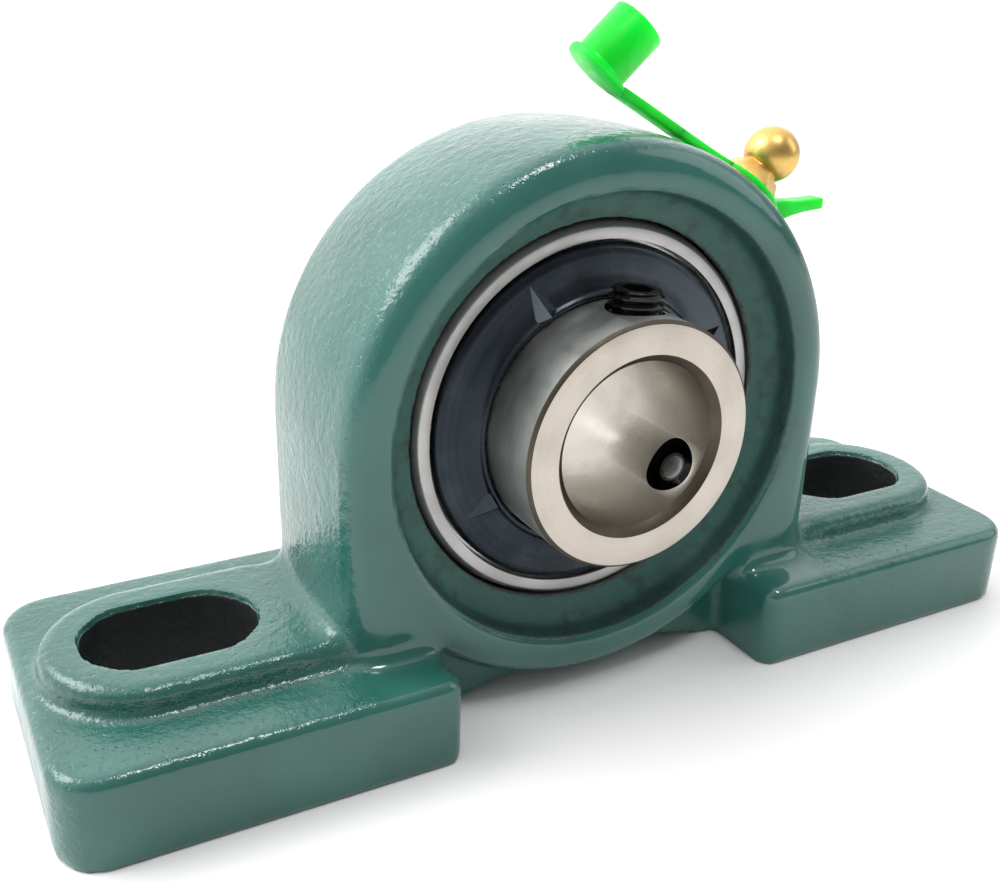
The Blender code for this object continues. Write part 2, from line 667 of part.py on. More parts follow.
def make_cap():
    """The cap: a flange that closes one end of a short tube. It hangs on an empty at the strap's end."""
    bore = CAP_RADIUS - CAP_WALL
    floor = CAP_FLANGE_THICKNESS + 0.4 * MM
    small = 0.15 * MM
    profile = [
        (0, floor),
        (bore, floor),
        (bore, CAP_LENGTH),
        (CAP_RADIUS, CAP_LENGTH),
        (CAP_RADIUS, CAP_FLANGE_THICKNESS),
        (CAP_FLANGE_RADIUS - small, CAP_FLANGE_THICKNESS),
        (CAP_FLANGE_RADIUS, CAP_FLANGE_THICKNESS - small),
        (CAP_FLANGE_RADIUS, small),
        (CAP_FLANGE_RADIUS - small, 0),
        (0, 0),
    ]
    cap = turned("dust_cap", profile, cap_plastic(), 20, closed=False)
    hinge = bpy.data.objects.new("dust_cap_hinge", None)
    bpy.context.scene.collection.objects.link(hinge)
    hinge.location = (STRAP_TIP[0], -NIPPLE_FORWARD, STRAP_TIP[1])
    cap.parent = hinge
    cap.location = (CAP_BASE[0] - STRAP_TIP[0], 0, CAP_BASE[1] - STRAP_TIP[1])
    cap.rotation_euler = (radians(CAP_LEAN), radians(90 - CAP_ANGLE), 0)


# ---------------------------------------------------------------- the whole object


def clear_scene():
    for thing in list(bpy.data.objects):
        bpy.data.objects.remove(thing)


clear_scene()
make_housing()
make_outer_ring()
make_inner_ring()
make_balls()
make_cage_half("cage_half_front", -1)
make_cage_half("cage_half_rear", 1)
make_rivets()
for end_label, end_side in (("front", 1), ("rear", -1)):
    make_seal(end_label, end_side)
    make_flinger(end_label, end_side)
make_set_screws()
make_nipple()
make_check_ball()
make_check_spring()
make_cap_ring()
make_strap()
make_cap()
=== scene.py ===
# %% [markdown]
# # A pillow-block bearing unit
#
# The object is a cast-iron block with two bolting feet that holds a ball bearing insert. Its CAD frame
# already exists: every solid, joint and size is fixed there. This lesson gives each piece the shape and the
# finish that the eye sees, and hangs it on the frame's moving bodies. The frame is loaded first, because
# every place in the lesson is measured from it. Loading leaves its objects selected, so they are deselected
# at once.

# %% Load the frame and measure it
import json
from math import asin, cos, degrees, pi, radians, sin, sqrt

import bmesh
import bpy
from mathutils import Matrix, Vector


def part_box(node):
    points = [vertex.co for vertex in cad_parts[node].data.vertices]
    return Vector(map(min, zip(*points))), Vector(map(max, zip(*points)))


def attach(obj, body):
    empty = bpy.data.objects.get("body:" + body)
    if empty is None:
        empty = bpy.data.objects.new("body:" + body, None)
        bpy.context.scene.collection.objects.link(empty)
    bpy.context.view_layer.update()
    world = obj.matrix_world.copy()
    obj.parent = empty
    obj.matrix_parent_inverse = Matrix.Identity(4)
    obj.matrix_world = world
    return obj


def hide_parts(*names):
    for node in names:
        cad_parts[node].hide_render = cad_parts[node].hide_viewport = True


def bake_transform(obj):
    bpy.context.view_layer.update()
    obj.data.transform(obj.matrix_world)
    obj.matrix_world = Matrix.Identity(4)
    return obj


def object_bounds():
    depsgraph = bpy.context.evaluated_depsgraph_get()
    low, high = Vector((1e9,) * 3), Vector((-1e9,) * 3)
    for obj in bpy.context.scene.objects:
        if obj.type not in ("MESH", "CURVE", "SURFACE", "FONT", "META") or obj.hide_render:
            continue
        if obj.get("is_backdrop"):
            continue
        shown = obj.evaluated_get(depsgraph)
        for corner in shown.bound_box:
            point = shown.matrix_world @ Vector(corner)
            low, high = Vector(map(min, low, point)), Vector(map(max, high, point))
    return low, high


MM = 0.001
RIGHT, FRONT, UP = Vector((1, 0, 0)), Vector((0, -1, 0)), Vector((0, 0, 1))

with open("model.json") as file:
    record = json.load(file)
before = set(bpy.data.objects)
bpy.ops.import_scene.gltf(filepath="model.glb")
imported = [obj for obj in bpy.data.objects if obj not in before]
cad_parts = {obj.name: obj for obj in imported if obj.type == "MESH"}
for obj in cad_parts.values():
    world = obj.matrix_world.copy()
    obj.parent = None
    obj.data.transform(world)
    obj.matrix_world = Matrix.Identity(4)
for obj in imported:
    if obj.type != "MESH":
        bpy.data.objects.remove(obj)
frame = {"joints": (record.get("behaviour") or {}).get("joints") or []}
bpy.ops.object.select_all(action="DESELECT")
cad_low, cad_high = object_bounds()
inner_low, inner_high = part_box("inner_ring")
SHAFT = Vector((0, 0, (inner_low.z + inner_high.z) / 2))
print("shaft height", round(SHAFT.z / MM, 2), "mm, length", round((cad_high.x - cad_low.x) / MM, 1), "mm")

# %% [markdown]
# ## Camera
#
# A camera close to a small object shows strong perspective: the near foot looks much bigger than the far
# one. The camera is placed by a point it stands at and a point it looks at, then rolled a little about its
# line of sight. A rotation matrix made of its right, up and back directions does all three at once.

# %% Set up the camera
CAMERA_PLACE = Vector((-0.0703, -0.11207, 0.08276))
CAMERA_TARGET = Vector((-0.01193, 0, 0.02944))
CAMERA_ROLL = 0.0182
SENSOR_WIDTH = 36
LENS = 42.54
SHIFT_RIGHT, SHIFT_UP = 0.03575, -0.00124

sight = (CAMERA_TARGET - CAMERA_PLACE).normalized()
level = sight.cross(UP).normalized()
steep = level.cross(sight)
camera_right = level * cos(CAMERA_ROLL) + steep * sin(CAMERA_ROLL)
camera_up = steep * cos(CAMERA_ROLL) - level * sin(CAMERA_ROLL)

bpy.ops.object.camera_add()
camera = bpy.context.object
turned_to = Matrix((camera_right, camera_up, -sight)).transposed().to_4x4()
camera.matrix_world = Matrix.Translation(CAMERA_PLACE) @ turned_to
camera.data.sensor_width = SENSOR_WIDTH
camera.data.lens = LENS
camera.data.shift_x, camera.data.shift_y = SHIFT_RIGHT, SHIFT_UP
camera.data.clip_start = MM
bpy.context.scene.camera = camera
print("camera stands", round((CAMERA_TARGET - CAMERA_PLACE).length / MM), "mm away")

# %% [markdown]
# ## Floor and light
#
# A product like this is shown on a white sweep under big soft lamps. Glossy enamel and ground steel look
# like whatever surrounds them, so the surroundings matter more than the lamps. The sky is bright behind the
# block and dimmer at the front: the tops and the left side then carry pale reflections, and the front face
# keeps its deep colour. Three soft boxes add shape: one high at the left and behind, one at the right, and
# a small one above, which draws the thin bright lines along the rounded edges. The sky is made of nodes, so
# two helpers that add a node and link it come first, and every finish uses them later.

# %% Floor
FLOOR_SIZE = 40.0
FLOOR_WHITE = (0.85, 0.85, 0.85, 1)


def new_material(name):
    """An empty material with its shader, ready for nodes."""
    made = bpy.data.materials.new(name)
    made.use_nodes = True
    tree = made.node_tree
    return made, tree, tree.nodes["Principled BSDF"]


bpy.ops.mesh.primitive_plane_add(size=FLOOR_SIZE)
floor = bpy.context.object
floor.name = "floor"
floor_finish, _, floor_shader = new_material("white_floor")
floor_shader.inputs["Base Color"].default_value = FLOOR_WHITE
floor_shader.inputs["Roughness"].default_value = 0.6
floor.data.materials.append(floor_finish)
floor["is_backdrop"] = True
print("floor", FLOOR_SIZE, "m across")

# %% First node helpers


def add_node(tree, kind, inputs, **settings):
    """Adds a shader node, sets it up, sets or links its inputs, and returns its output in use."""
    node = tree.nodes.new("ShaderNode" + kind)
    for name, value in settings.items():
        setattr(node, name, value)
    for name, value in inputs.items():
        if isinstance(value, bpy.types.NodeSocket):
            tree.links.new(value, node.inputs[name])
        else:
            node.inputs[name].default_value = value
    return next(socket for socket in node.outputs if socket.enabled)


def smooth_step(tree, value, low, high, start=0.0, end=1.0):
    """start below low, end above high, and an even ramp between."""
    ends = {"Value": value, "From Min": low, "From Max": high, "To Min": start, "To Max": end}
    return add_node(tree, "MapRange", ends, interpolation_type="SMOOTHSTEP")


print("a node can be added and linked in one line")

# %% Sky
BACKDROP_SIDE = Vector((-0.25, 0.85, 0.4))
SKY_BEHIND, SKY_FRONT = 1.85, 0.26
FADE_START, FADE_END = -0.5, 0.9

world = bpy.data.worlds.new("studio")
bpy.context.scene.world = world
world.use_nodes = True
sky = world.node_tree
looking = sky.nodes.new("ShaderNodeTexCoord").outputs["Generated"]
facing = {0: looking, 1: BACKDROP_SIDE.normalized()}
toward_back = add_node(sky, "VectorMath", facing, operation="DOT_PRODUCT")
strength = smooth_step(sky, toward_back, FADE_START, FADE_END, SKY_FRONT, SKY_BEHIND)
sky.nodes["Background"].inputs["Color"].default_value = (1, 1, 1, 1)
sky.links.new(strength, sky.nodes["Background"].inputs["Strength"])
print("sky strength from", SKY_FRONT, "to", SKY_BEHIND)

# %% Soft boxes


def soft_box(name, place, width, height, watts):
    """A rectangular area lamp that faces the middle of the block."""
    bpy.ops.object.light_add(type="AREA", location=place)
    lamp = bpy.context.object
    lamp.name = name
    lamp.data.shape = "RECTANGLE"
    lamp.data.size, lamp.data.size_y = width, height
    lamp.data.energy = watts
    lamp.rotation_euler = (SHAFT - Vector(place)).to_track_quat("-Z", "Y").to_euler()
    print("soft box", name, watts, "W")


soft_box("high_left", (-0.45, 0.25, 0.55), 0.5, 0.4, 4)
soft_box("right", (0.6, -0.25, 0.35), 0.35, 0.5, 0.8)
soft_box("above", (0.05, -0.2, 0.6), 0.12, 0.12, 0.9)
bpy.context.scene.view_settings.view_transform = "Standard"

# %% [markdown]
# ## Drawing with one vertex
#
# Most pieces here start in the same way. A plane is added and merged to a single vertex, and that vertex is
# extruded from point to point, like a pen. The line it leaves is either closed and filled, then pushed into
# a slab, or spun round an axis into a turned part. This keeps every size in plain view in the list of
# points.

# %% Line, slab and turned part
MERGE_WITHIN = 0.0005 * MM


def push(along):
    """Extrudes all that is selected along a vector."""
    bpy.ops.mesh.extrude_region_move(TRANSFORM_OT_translate={"value": along})


def draw_line(name, points):
    """Adds a vertex and extrudes it from point to point. Edit mode stays open, with all selected."""
    bpy.ops.object.select_all(action="DESELECT")
    bpy.ops.mesh.primitive_plane_add(size=MM)
    piece = bpy.context.object
    piece.name = piece.data.name = name
    bpy.ops.object.mode_set(mode="EDIT")
    bpy.ops.mesh.merge(type="CENTER")
    bpy.ops.transform.translate(value=points[0])
    for here, there in zip(points, points[1:]):
        push(there - here)
    bpy.ops.mesh.select_all(action="SELECT")
    return piece


def close_up(piece):
    """Merges doubles, turns every face outward and leaves edit mode."""
    bpy.ops.mesh.select_all(action="SELECT")
    bpy.ops.mesh.remove_doubles(threshold=MERGE_WITHIN)
    bpy.ops.mesh.normals_make_consistent(inside=False)
    bpy.ops.object.mode_set(mode="OBJECT")
    return piece


def slab(name, outline, along):
    """A closed outline, filled and pushed along a vector."""
    piece = draw_line(name, outline)
    bpy.ops.mesh.edge_face_add()
    push(along)
    return close_up(piece)


def turned(name, profile, base=SHAFT, along=FRONT, out=RIGHT, steps=128, ring=True):
    """A line of (radius, distance along) points spun about an axis. A ring's line is closed first."""
    piece = draw_line(name, [base + out * radius + along * far for radius, far in profile])
    if ring:
        bpy.ops.mesh.edge_face_add()
        bpy.ops.mesh.delete(type="ONLY_FACE")
        bpy.ops.mesh.select_all(action="SELECT")
    bpy.ops.mesh.spin(steps=steps, angle=2 * pi, center=base, axis=along)
    return close_up(piece)


print("lines, slabs and turned parts can be drawn")

# %% Selecting and rounding edges


def select_edges(piece, wanted):
    """Opens edit mode and selects the edges whose two ends both pass a test of their place."""
    bpy.context.view_layer.objects.active = piece
    bpy.ops.object.mode_set(mode="EDIT")
    bpy.ops.mesh.select_mode(type="EDGE")
    bpy.ops.mesh.select_all(action="DESELECT")
    shape = bmesh.from_edit_mesh(piece.data)
    for edge in shape.edges:
        edge.select_set(all(wanted(vertex.co) for vertex in edge.verts))
    bmesh.update_edit_mesh(piece.data)


def round_edges(piece, wanted, radius, steps=4):
    """Bevels the edges that pass a test, and leaves edit mode."""
    select_edges(piece, wanted)
    bpy.ops.mesh.bevel(offset=radius, segments=steps, profile=0.5, affect="EDGES")
    bpy.ops.mesh.select_mode(type="VERT")
    return close_up(piece)


# %% Modifiers and Booleans


def modify(piece, kind, **settings):
    """Adds a modifier, sets it up and applies it."""
    step = piece.modifiers.new(kind.title(), kind)
    for name, value in settings.items():
        setattr(step, name, value)
    bpy.context.view_layer.objects.active = piece
    bpy.ops.object.modifier_apply(modifier=step.name)
    return piece


def combine(piece, operation, other):
    """Joins or cuts with another solid, which is then thrown away."""
    modify(piece, "BOOLEAN", operation=operation, object=other, solver="EXACT")
    bpy.data.objects.remove(other)
    return piece


# %% Softening edges and hanging a piece on the frame
SHARP_ANGLE = radians(35)


def break_edges(piece, width=0.12 * MM, steps=2):
    """Rounds every sharp edge slightly, as tumbling or a wire brush leaves it."""
    sharp = {"limit_method": "ANGLE", "angle_limit": SHARP_ANGLE, "use_clamp_overlap": True}
    return modify(piece, "BEVEL", width=width, segments=steps, **sharp)


def hang(piece, body, material_slot, finish, *stands_for):
    """Shades a finished piece, gives it its finish and fixes it to a body of the frame."""
    bpy.ops.object.select_all(action="DESELECT")
    piece.select_set(True)
    bpy.context.view_layer.objects.active = piece
    bpy.ops.object.shade_smooth_by_angle(angle=SHARP_ANGLE)
    piece.data.materials.clear()
    piece.data.materials.append(finish)
    if body:
        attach(piece, body)
    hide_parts(*stands_for)
    print(piece.name, "has", len(piece.data.polygons), "faces")
    return piece


def arc(centre, radius, start, stop, steps):
    """(x, y) points on an arc, in degrees, with both ends."""
    angles = [radians(start + (stop - start) * i / steps) for i in range(steps + 1)]
    return [(centre[0] + radius * cos(a), centre[1] + radius * sin(a)) for a in angles]


print("edges sharper than", round(degrees(SHARP_ANGLE)), "degrees stay sharp in the shading")

# %% [markdown]
# ## Housing: the rough shape
#
# The housing is one sand casting. Its head is a thick round disc with a rounded rim, which swells slightly
# at the line where the two halves of the mould met. Cheeks carry it down to the feet, and each foot has a
# raised boss round its bolt slot. It could be one mesh extruded face by face, but a patternmaker builds up
# such a shape from simple blocks, and so does this: each block is drawn, and all are joined with Booleans.
# The two loading slots, where the insert is put in from behind, are cut while the head is still whole,
# because a Boolean is safest on a plain shape.

# %% Head and cheeks
HEAD_RADIUS = 31.4 * MM
HEAD_HALF_DEPTH = 12.6 * MM
HEAD_EDGE = 3.2 * MM
HEAD_CROWN = 0.45 * MM
CHEEK_INNER = 21.1 * MM
CHEEK_FOOT = 4 * MM

straight = HEAD_HALF_DEPTH - HEAD_EDGE
corner = arc((HEAD_RADIUS - HEAD_EDGE, straight), HEAD_EDGE, 90, 0, 7)
swell = [(HEAD_RADIUS + HEAD_CROWN * (1 - (y / straight) ** 2), y) for y in (6 * MM, 3 * MM)]
front_rim = corner + swell
rim = front_rim + [(HEAD_RADIUS + HEAD_CROWN, 0)] + [(radius, -y) for radius, y in reversed(front_rim)]

head_line = [(0, HEAD_HALF_DEPTH)] + rim + [(0, -HEAD_HALF_DEPTH)]
housing = turned("housing_casting", head_line, ring=False, steps=144)
for side in (1, -1):
    plan = [(CHEEK_INNER, HEAD_HALF_DEPTH)] + rim + [(CHEEK_INNER, -HEAD_HALF_DEPTH)]
    outline = [Vector((side * x, -y, CHEEK_FOOT)) for x, y in plan]
    combine(housing, "UNION", slab("cheek", outline, UP * (SHAFT.z - CHEEK_FOOT)))
print("head is", round(2 * (HEAD_RADIUS + HEAD_CROWN) / MM, 1), "mm across")

# %% Web, feet and bosses
foot_end, foot_depth = cad_high.x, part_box("housing")[1].y
FOOT_INNER_END = 20.8 * MM
FOOT_HEIGHT = 10.5 * MM
FOOT_CORNER, FOOT_INNER_CORNER = 5.3 * MM, 2 * MM
BOSS_HEIGHT = 13.75 * MM
BOLT_PLACE = 47.5 * MM
SLOT_HALF_STRAIGHT = 3.1 * MM
SLOT_RADIUS = 6.5 * MM
BOSS_RADIUS, BOSS_INNER_END, BOSS_BASE = 10.9 * MM, 27 * MM, 1 * MM
FOOT_EDGE, BOSS_EDGE = 1.2 * MM, 1.3 * MM
WEB_HALF_DEPTH, WEB_TOP, WEB_RISE, WEB_REACH = 9 * MM, 16 * MM, 2.8 * MM, 19 * MM

arch = [(WEB_REACH * i / 8, WEB_RISE * (1 - (i / 8) ** 2)) for i in range(-8, 9)]
web_side = FOOT_INNER_END + 1 * MM
web_outline = [(-web_side, WEB_TOP), (-web_side, 0)] + arch + [(web_side, 0), (web_side, WEB_TOP)]
web = slab("web", [Vector((x, -WEB_HALF_DEPTH, z)) for x, z in web_outline], -FRONT * 2 * WEB_HALF_DEPTH)
combine(housing, "UNION", web)

outer_x, outer_y = foot_end - FOOT_CORNER, foot_depth - FOOT_CORNER
inner_x, inner_y = FOOT_INNER_END + FOOT_INNER_CORNER, foot_depth - FOOT_INNER_CORNER
foot_plan = arc((outer_x, outer_y), FOOT_CORNER, 0, 90, 10)
foot_plan += arc((inner_x, inner_y), FOOT_INNER_CORNER, 90, 180, 5)
foot_plan += [(x, -y) for x, y in reversed(foot_plan)]
boss_end = BOLT_PLACE + SLOT_HALF_STRAIGHT
boss_plan = arc((boss_end, 0), BOSS_RADIUS, -90, 90, 28)
boss_plan += [(BOSS_INNER_END, BOSS_RADIUS), (BOSS_INNER_END, -BOSS_RADIUS)]
for side in (1, -1):
    foot = slab("foot", [Vector((side * x, y, 0)) for x, y in foot_plan], UP * FOOT_HEIGHT)
    round_edges(foot, lambda place: place.z > FOOT_HEIGHT - MERGE_WITHIN, FOOT_EDGE)
    combine(housing, "UNION", foot)
    boss_foot = [Vector((side * x, y, BOSS_BASE)) for x, y in boss_plan]
    boss = slab("boss", boss_foot, UP * (BOSS_HEIGHT - BOSS_BASE))
    round_edges(boss, lambda place: place.z > BOSS_HEIGHT - MERGE_WITHIN, BOSS_EDGE)
    combine(housing, "UNION", boss)
print("feet reach", round(foot_end / MM, 1), "mm each way")

# %% Bolt slots, seat and loading slots
RECESS_RADIUS, RECESS_DEPTH = 26.2 * MM, 8.8 * MM
SEAT_RADIUS, SEAT_HALF_DEPTH = 23.85 * MM, 8.2 * MM
LOADING_SLOT, LOADING_START = 17.6 * MM, 0.5 * MM
CUT_PAST, CUT_BELOW, CUT_TALL = 20 * MM, 5 * MM, 30 * MM

reach = SEAT_RADIUS - 0.1 * MM
half = LOADING_SLOT / 2
four_corners = [(-reach, -half), (reach, -half), (reach, half), (-reach, half)]
loading = [Vector((x, LOADING_START, SHAFT.z + z)) for x, z in four_corners]
combine(housing, "DIFFERENCE", slab("loading_cutter", loading, -FRONT * CUT_PAST))

for side in (1, -1):
    outline = arc((SLOT_HALF_STRAIGHT, 0), SLOT_RADIUS, -90, 90, 24)
    outline += [(-x, -y) for x, y in outline]
    points = [Vector((side * BOLT_PLACE + x, y, -CUT_BELOW)) for x, y in outline]
    combine(housing, "DIFFERENCE", slab("slot_cutter", points, UP * CUT_TALL))

seat_mouth = sqrt(SEAT_RADIUS**2 - SEAT_HALF_DEPTH**2)
front_mouth = [
    (0, CUT_PAST),
    (RECESS_RADIUS + 0.4 * MM, CUT_PAST),
    (RECESS_RADIUS, HEAD_HALF_DEPTH - 0.4 * MM),
    (RECESS_RADIUS - 0.4 * MM, RECESS_DEPTH + 0.8 * MM),
    (RECESS_RADIUS - 1.1 * MM, RECESS_DEPTH),
    (seat_mouth, SEAT_HALF_DEPTH),
]
half_angle = degrees(asin(SEAT_HALF_DEPTH / SEAT_RADIUS))
sphere = arc((0, 0), SEAT_RADIUS, half_angle, -half_angle, 14)[1:-1]
cutter_line = front_mouth + sphere + [(radius, -y) for radius, y in reversed(front_mouth)]
combine(housing, "DIFFERENCE", turned("seat_cutter", cutter_line, ring=False, steps=144))

print("seat is", round(2 * SEAT_RADIUS / MM, 1), "mm across")

# %% Hole for the grease nipple


def to_mm(points):
    """Points given in millimetres, as metres."""
    return [(first * MM, second * MM) for first, second in points]


NIPPLE_LINE = (RIGHT + UP).normalized()
NIPPLE_OUT = Vector((NIPPLE_LINE.z, 0, -NIPPLE_LINE.x))
nipple_low, nipple_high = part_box("grease_nipple")
NIPPLE_BASE = SHAFT + Vector((0, (nipple_low.y + nipple_high.y) / 2, 0))
NIPPLE_AXIS = (NIPPLE_BASE, NIPPLE_LINE, NIPPLE_OUT)

grease_line = [(0, 40), (3.1, 40), (3.1, 27.1), (1.3, 26.3), (1.3, 20), (0, 20)]
grease_way = turned("grease_way", to_mm(grease_line), *NIPPLE_AXIS, steps=48, ring=False)
combine(housing, "DIFFERENCE", grease_way)
print("nipple stands", round(-NIPPLE_BASE.y / MM, 1), "mm in front of the middle")

# %% [markdown]
# ## Housing: from blocks to a casting
#
# No casting has a sharp inner corner: the pattern has fillets, and the sand rounds every edge. Bevelling
# the seams that Booleans leave often fails, so the shape goes through a voxel remesh, which wraps it all in
# one even grid. Smoothing that grid lightly rounds every edge a little. Where the head stands on the feet a
# strong smoothing, held to a vertex group that fades out around the corner, draws a fillet.

# %% Remesh and smooth
VOXEL = 0.55 * MM
FILLET_REACH = 5 * MM
EDGE_PASSES, FILLET_PASSES = 5, 70

modify(housing, "REMESH", mode="VOXEL", voxel_size=VOXEL, adaptivity=0)
modify(housing, "SMOOTH", factor=0.5, iterations=EDGE_PASSES)


def fillet_weight(place):
    """1 in the corner between the head's walls and the feet's tops, fading to 0 away from it."""
    from_wall = max(abs(place.x) - HEAD_RADIUS, abs(place.y) - HEAD_HALF_DEPTH)
    on_boss = abs(place.y) < BOSS_RADIUS + 1 * MM and abs(place.x) > HEAD_RADIUS - 2 * MM
    from_top = place.z - (BOSS_HEIGHT if on_boss else FOOT_HEIGHT)
    if abs(place.y) > foot_depth - 2 * MM or abs(place.x) < FOOT_INNER_END - 1 * MM:
        return 0
    return max(0.0, 1 - max(abs(from_wall), abs(from_top)) / FILLET_REACH)


corners = housing.vertex_groups.new(name="corners")
for vertex in housing.data.vertices:
    weight = fillet_weight(vertex.co)
    if weight:
        corners.add([vertex.index], weight, "REPLACE")
modify(housing, "SMOOTH", factor=0.5, iterations=FILLET_PASSES, vertex_group="corners")
print("casting has", len(housing.data.polygons), "faces")

# %% [markdown]
# ## Finishes: small helpers
#
# Every finish is made of nodes that read Object coordinates, so a pattern has its real size and stays put
# when the piece moves. Four kinds of node do nearly all of the work: a noise gives unevenness, a smooth
# step turns a distance into a mask, a colour mix uses the mask, and a bump makes small heights catch the
# light.

# %% More node helpers


def object_place(tree):
    """The point on the piece, in metres, and its three parts."""
    texture_place = tree.nodes.new("ShaderNodeTexCoord")
    split = tree.nodes.new("ShaderNodeSeparateXYZ")
    tree.links.new(texture_place.outputs["Object"], split.inputs[0])
    return texture_place.outputs["Object"], *split.outputs


def noise(tree, place, scale, detail=3.0, roughness=0.5):
    """Uneven patches from 0 to 1, about 1/scale metres wide."""
    inputs = {"Vector": place, "Scale": scale, "Detail": detail, "Roughness": roughness}
    return add_node(tree, "TexNoise", inputs)


def maths(tree, operation, *values):
    """One sum on one or two values, each a number or a socket."""
    return add_node(tree, "Math", dict(enumerate(values)), operation=operation)


def times(tree, first, second):
    return maths(tree, "MULTIPLY", first, second)


def larger(tree, first, second):
    return maths(tree, "MAXIMUM", first, second)


def mix(tree, amount, first, second):
    """The first colour where amount is 0, the second where it is 1."""
    return add_node(tree, "Mix", {0: amount, 6: first, 7: second}, data_type="RGBA")


def bump(tree, height, depth, under=None):
    """A bump of a real depth in metres, laid over another bump if one is given."""
    inputs = {"Strength": 1.0, "Distance": depth, "Height": height}
    if under:
        inputs["Normal"] = under
    return add_node(tree, "Bump", inputs)


def length_of(tree, first, second):
    """The length of the vector (first, second)."""
    vector = add_node(tree, "CombineXYZ", {0: first, 1: second})
    return add_node(tree, "VectorMath", {0: vector}, operation="LENGTH")


print("node helpers ready")

# %% [markdown]
# ## Enamel on cast iron
#
# The housing is dipped in a thick gloss enamel. Sand leaves the head's outside and the feet's tops pitted,
# and the enamel softens the pits without filling them. The front and back faces are smoother. The set-back
# band round the insert is rough, thinly coated and duller, the slots are bare inside and near black, as
# soot and painted shade, and the underside is ground flat and bare. One material does it all, with masks
# worked out from the place: a distance from the shaft for the band, a distance from the slot's middle line
# for the slots. A dark line of painted shade runs where the band meets its wall.

# %% Masks on the housing
enamel, tree, shader = new_material("gloss_enamel")
place, x, y, z = object_place(tree)
above_shaft = maths(tree, "SUBTRACT", z, SHAFT.z)
from_shaft = length_of(tree, x, above_shaft)
from_middle = length_of(tree, x, larger(tree, above_shaft, 0.0))
away_y = maths(tree, "ABSOLUTE", y)

# Inside the bolt slots the colour goes near black: sooty bare iron and painted shade.
along_slot = maths(tree, "ABSOLUTE", maths(tree, "SUBTRACT", maths(tree, "ABSOLUTE", x), BOLT_PLACE))
past_straight = larger(tree, maths(tree, "SUBTRACT", along_slot, SLOT_HALF_STRAIGHT), 0.0)
from_slot = length_of(tree, past_straight, y)
ragged = times(tree, noise(tree, place, 900.0), 0.5 * MM)
ragged_z = maths(tree, "ADD", z, ragged)
below_rim = smooth_step(tree, ragged_z, BOSS_HEIGHT - 0.6 * MM, BOSS_HEIGHT - 0.2 * MM, 1.0, 0.0)
in_slot = smooth_step(tree, from_slot, SLOT_RADIUS + 0.3 * MM, SLOT_RADIUS + 0.5 * MM, 1.0, 0.0)
slot_wall = times(tree, in_slot, below_rim)

underside = smooth_step(tree, z, 0.08 * MM, 0.2 * MM, 1.0, 0.0)
in_band = smooth_step(tree, from_shaft, RECESS_RADIUS - 0.1 * MM, RECESS_RADIUS + 0.35 * MM, 1.0, 0.0)
within = smooth_step(tree, away_y, HEAD_HALF_DEPTH - 0.5 * MM, HEAD_HALF_DEPTH - 0.1 * MM, 1.0, 0.0)
band = times(tree, in_band, within)
# The darkening where the band meets its wall is painted shade.
in_recess = smooth_step(tree, away_y, HEAD_HALF_DEPTH - 0.9 * MM, HEAD_HALF_DEPTH - 0.5 * MM, 1.0, 0.0)
wall_line = smooth_step(tree, from_shaft, RECESS_RADIUS - 0.75 * MM, RECESS_RADIUS - 0.3 * MM)
recess_wall = times(tree, wall_line, times(tree, band, in_recess))
near_shaft = smooth_step(tree, from_shaft, SEAT_RADIUS - 0.1 * MM, SEAT_RADIUS + 0.1 * MM, 1.0, 0.0)
within_seat = smooth_step(tree, away_y, SEAT_HALF_DEPTH - 0.3 * MM, SEAT_HALF_DEPTH, 1.0, 0.0)
seat = times(tree, near_shaft, within_seat)
bare = larger(tree, underside, seat)
outside = smooth_step(tree, from_middle, HEAD_RADIUS - 1.6 * MM, HEAD_RADIUS - 0.3 * MM)
front_of_foot = smooth_step(tree, away_y, foot_depth - 1.2 * MM, foot_depth - 0.3 * MM, 1.0, 0.35)
sandy = times(tree, outside, front_of_foot)
print("masks: slot wall, underside, band, seat, sandy outside")

# %% Colour, gloss and bumps of the enamel
ENAMEL_DEEP, ENAMEL_PALE = (0.018, 0.095, 0.076, 1), (0.029, 0.126, 0.104, 1)
# The dark thin-enamel colour is the band's thin coat and also painted shade at the band's wall.
ENAMEL_THIN_AND_SHADE, ENAMEL_EDGE = (0.01, 0.045, 0.036, 1), (0.1, 0.27, 0.23, 1)
SOOT_AND_SHADE, BARE_IRON = (0.003, 0.006, 0.006, 1), (0.26, 0.255, 0.25, 1)

drift = smooth_step(tree, noise(tree, place, 55.0, 2.0), 0.35, 0.65)
specks = smooth_step(tree, noise(tree, place, 1500.0, 2.0), 0.66, 0.76)
# Pointiness is high on convex edges and low in hollows: edges are mixed toward a paler green, hollows half
# way toward the dark thin colour.
convexity = tree.nodes.new("ShaderNodeNewGeometry").outputs["Pointiness"]
edge = smooth_step(tree, maths(tree, "ADD", convexity, times(tree, ragged, 30.0)), 0.545, 0.6)
hollow = smooth_step(tree, convexity, 0.44, 0.485, 1.0, 0.0)

colour = mix(tree, drift, ENAMEL_DEEP, ENAMEL_PALE)
colour = mix(tree, times(tree, edge, 0.25), colour, ENAMEL_EDGE)
colour = mix(tree, times(tree, hollow, 0.5), colour, ENAMEL_THIN_AND_SHADE)
colour = mix(tree, times(tree, specks, times(tree, sandy, 0.6)), colour, ENAMEL_THIN_AND_SHADE)
mottle = smooth_step(tree, noise(tree, place, 420.0, 4.0), 0.5, 0.74)
band_colour = mix(tree, mottle, ENAMEL_DEEP, ENAMEL_THIN_AND_SHADE)
colour = mix(tree, band, colour, band_colour)
# Painted shade: a dark line where the band meets its wall.
colour = mix(tree, times(tree, recess_wall, 0.75), colour, ENAMEL_THIN_AND_SHADE)
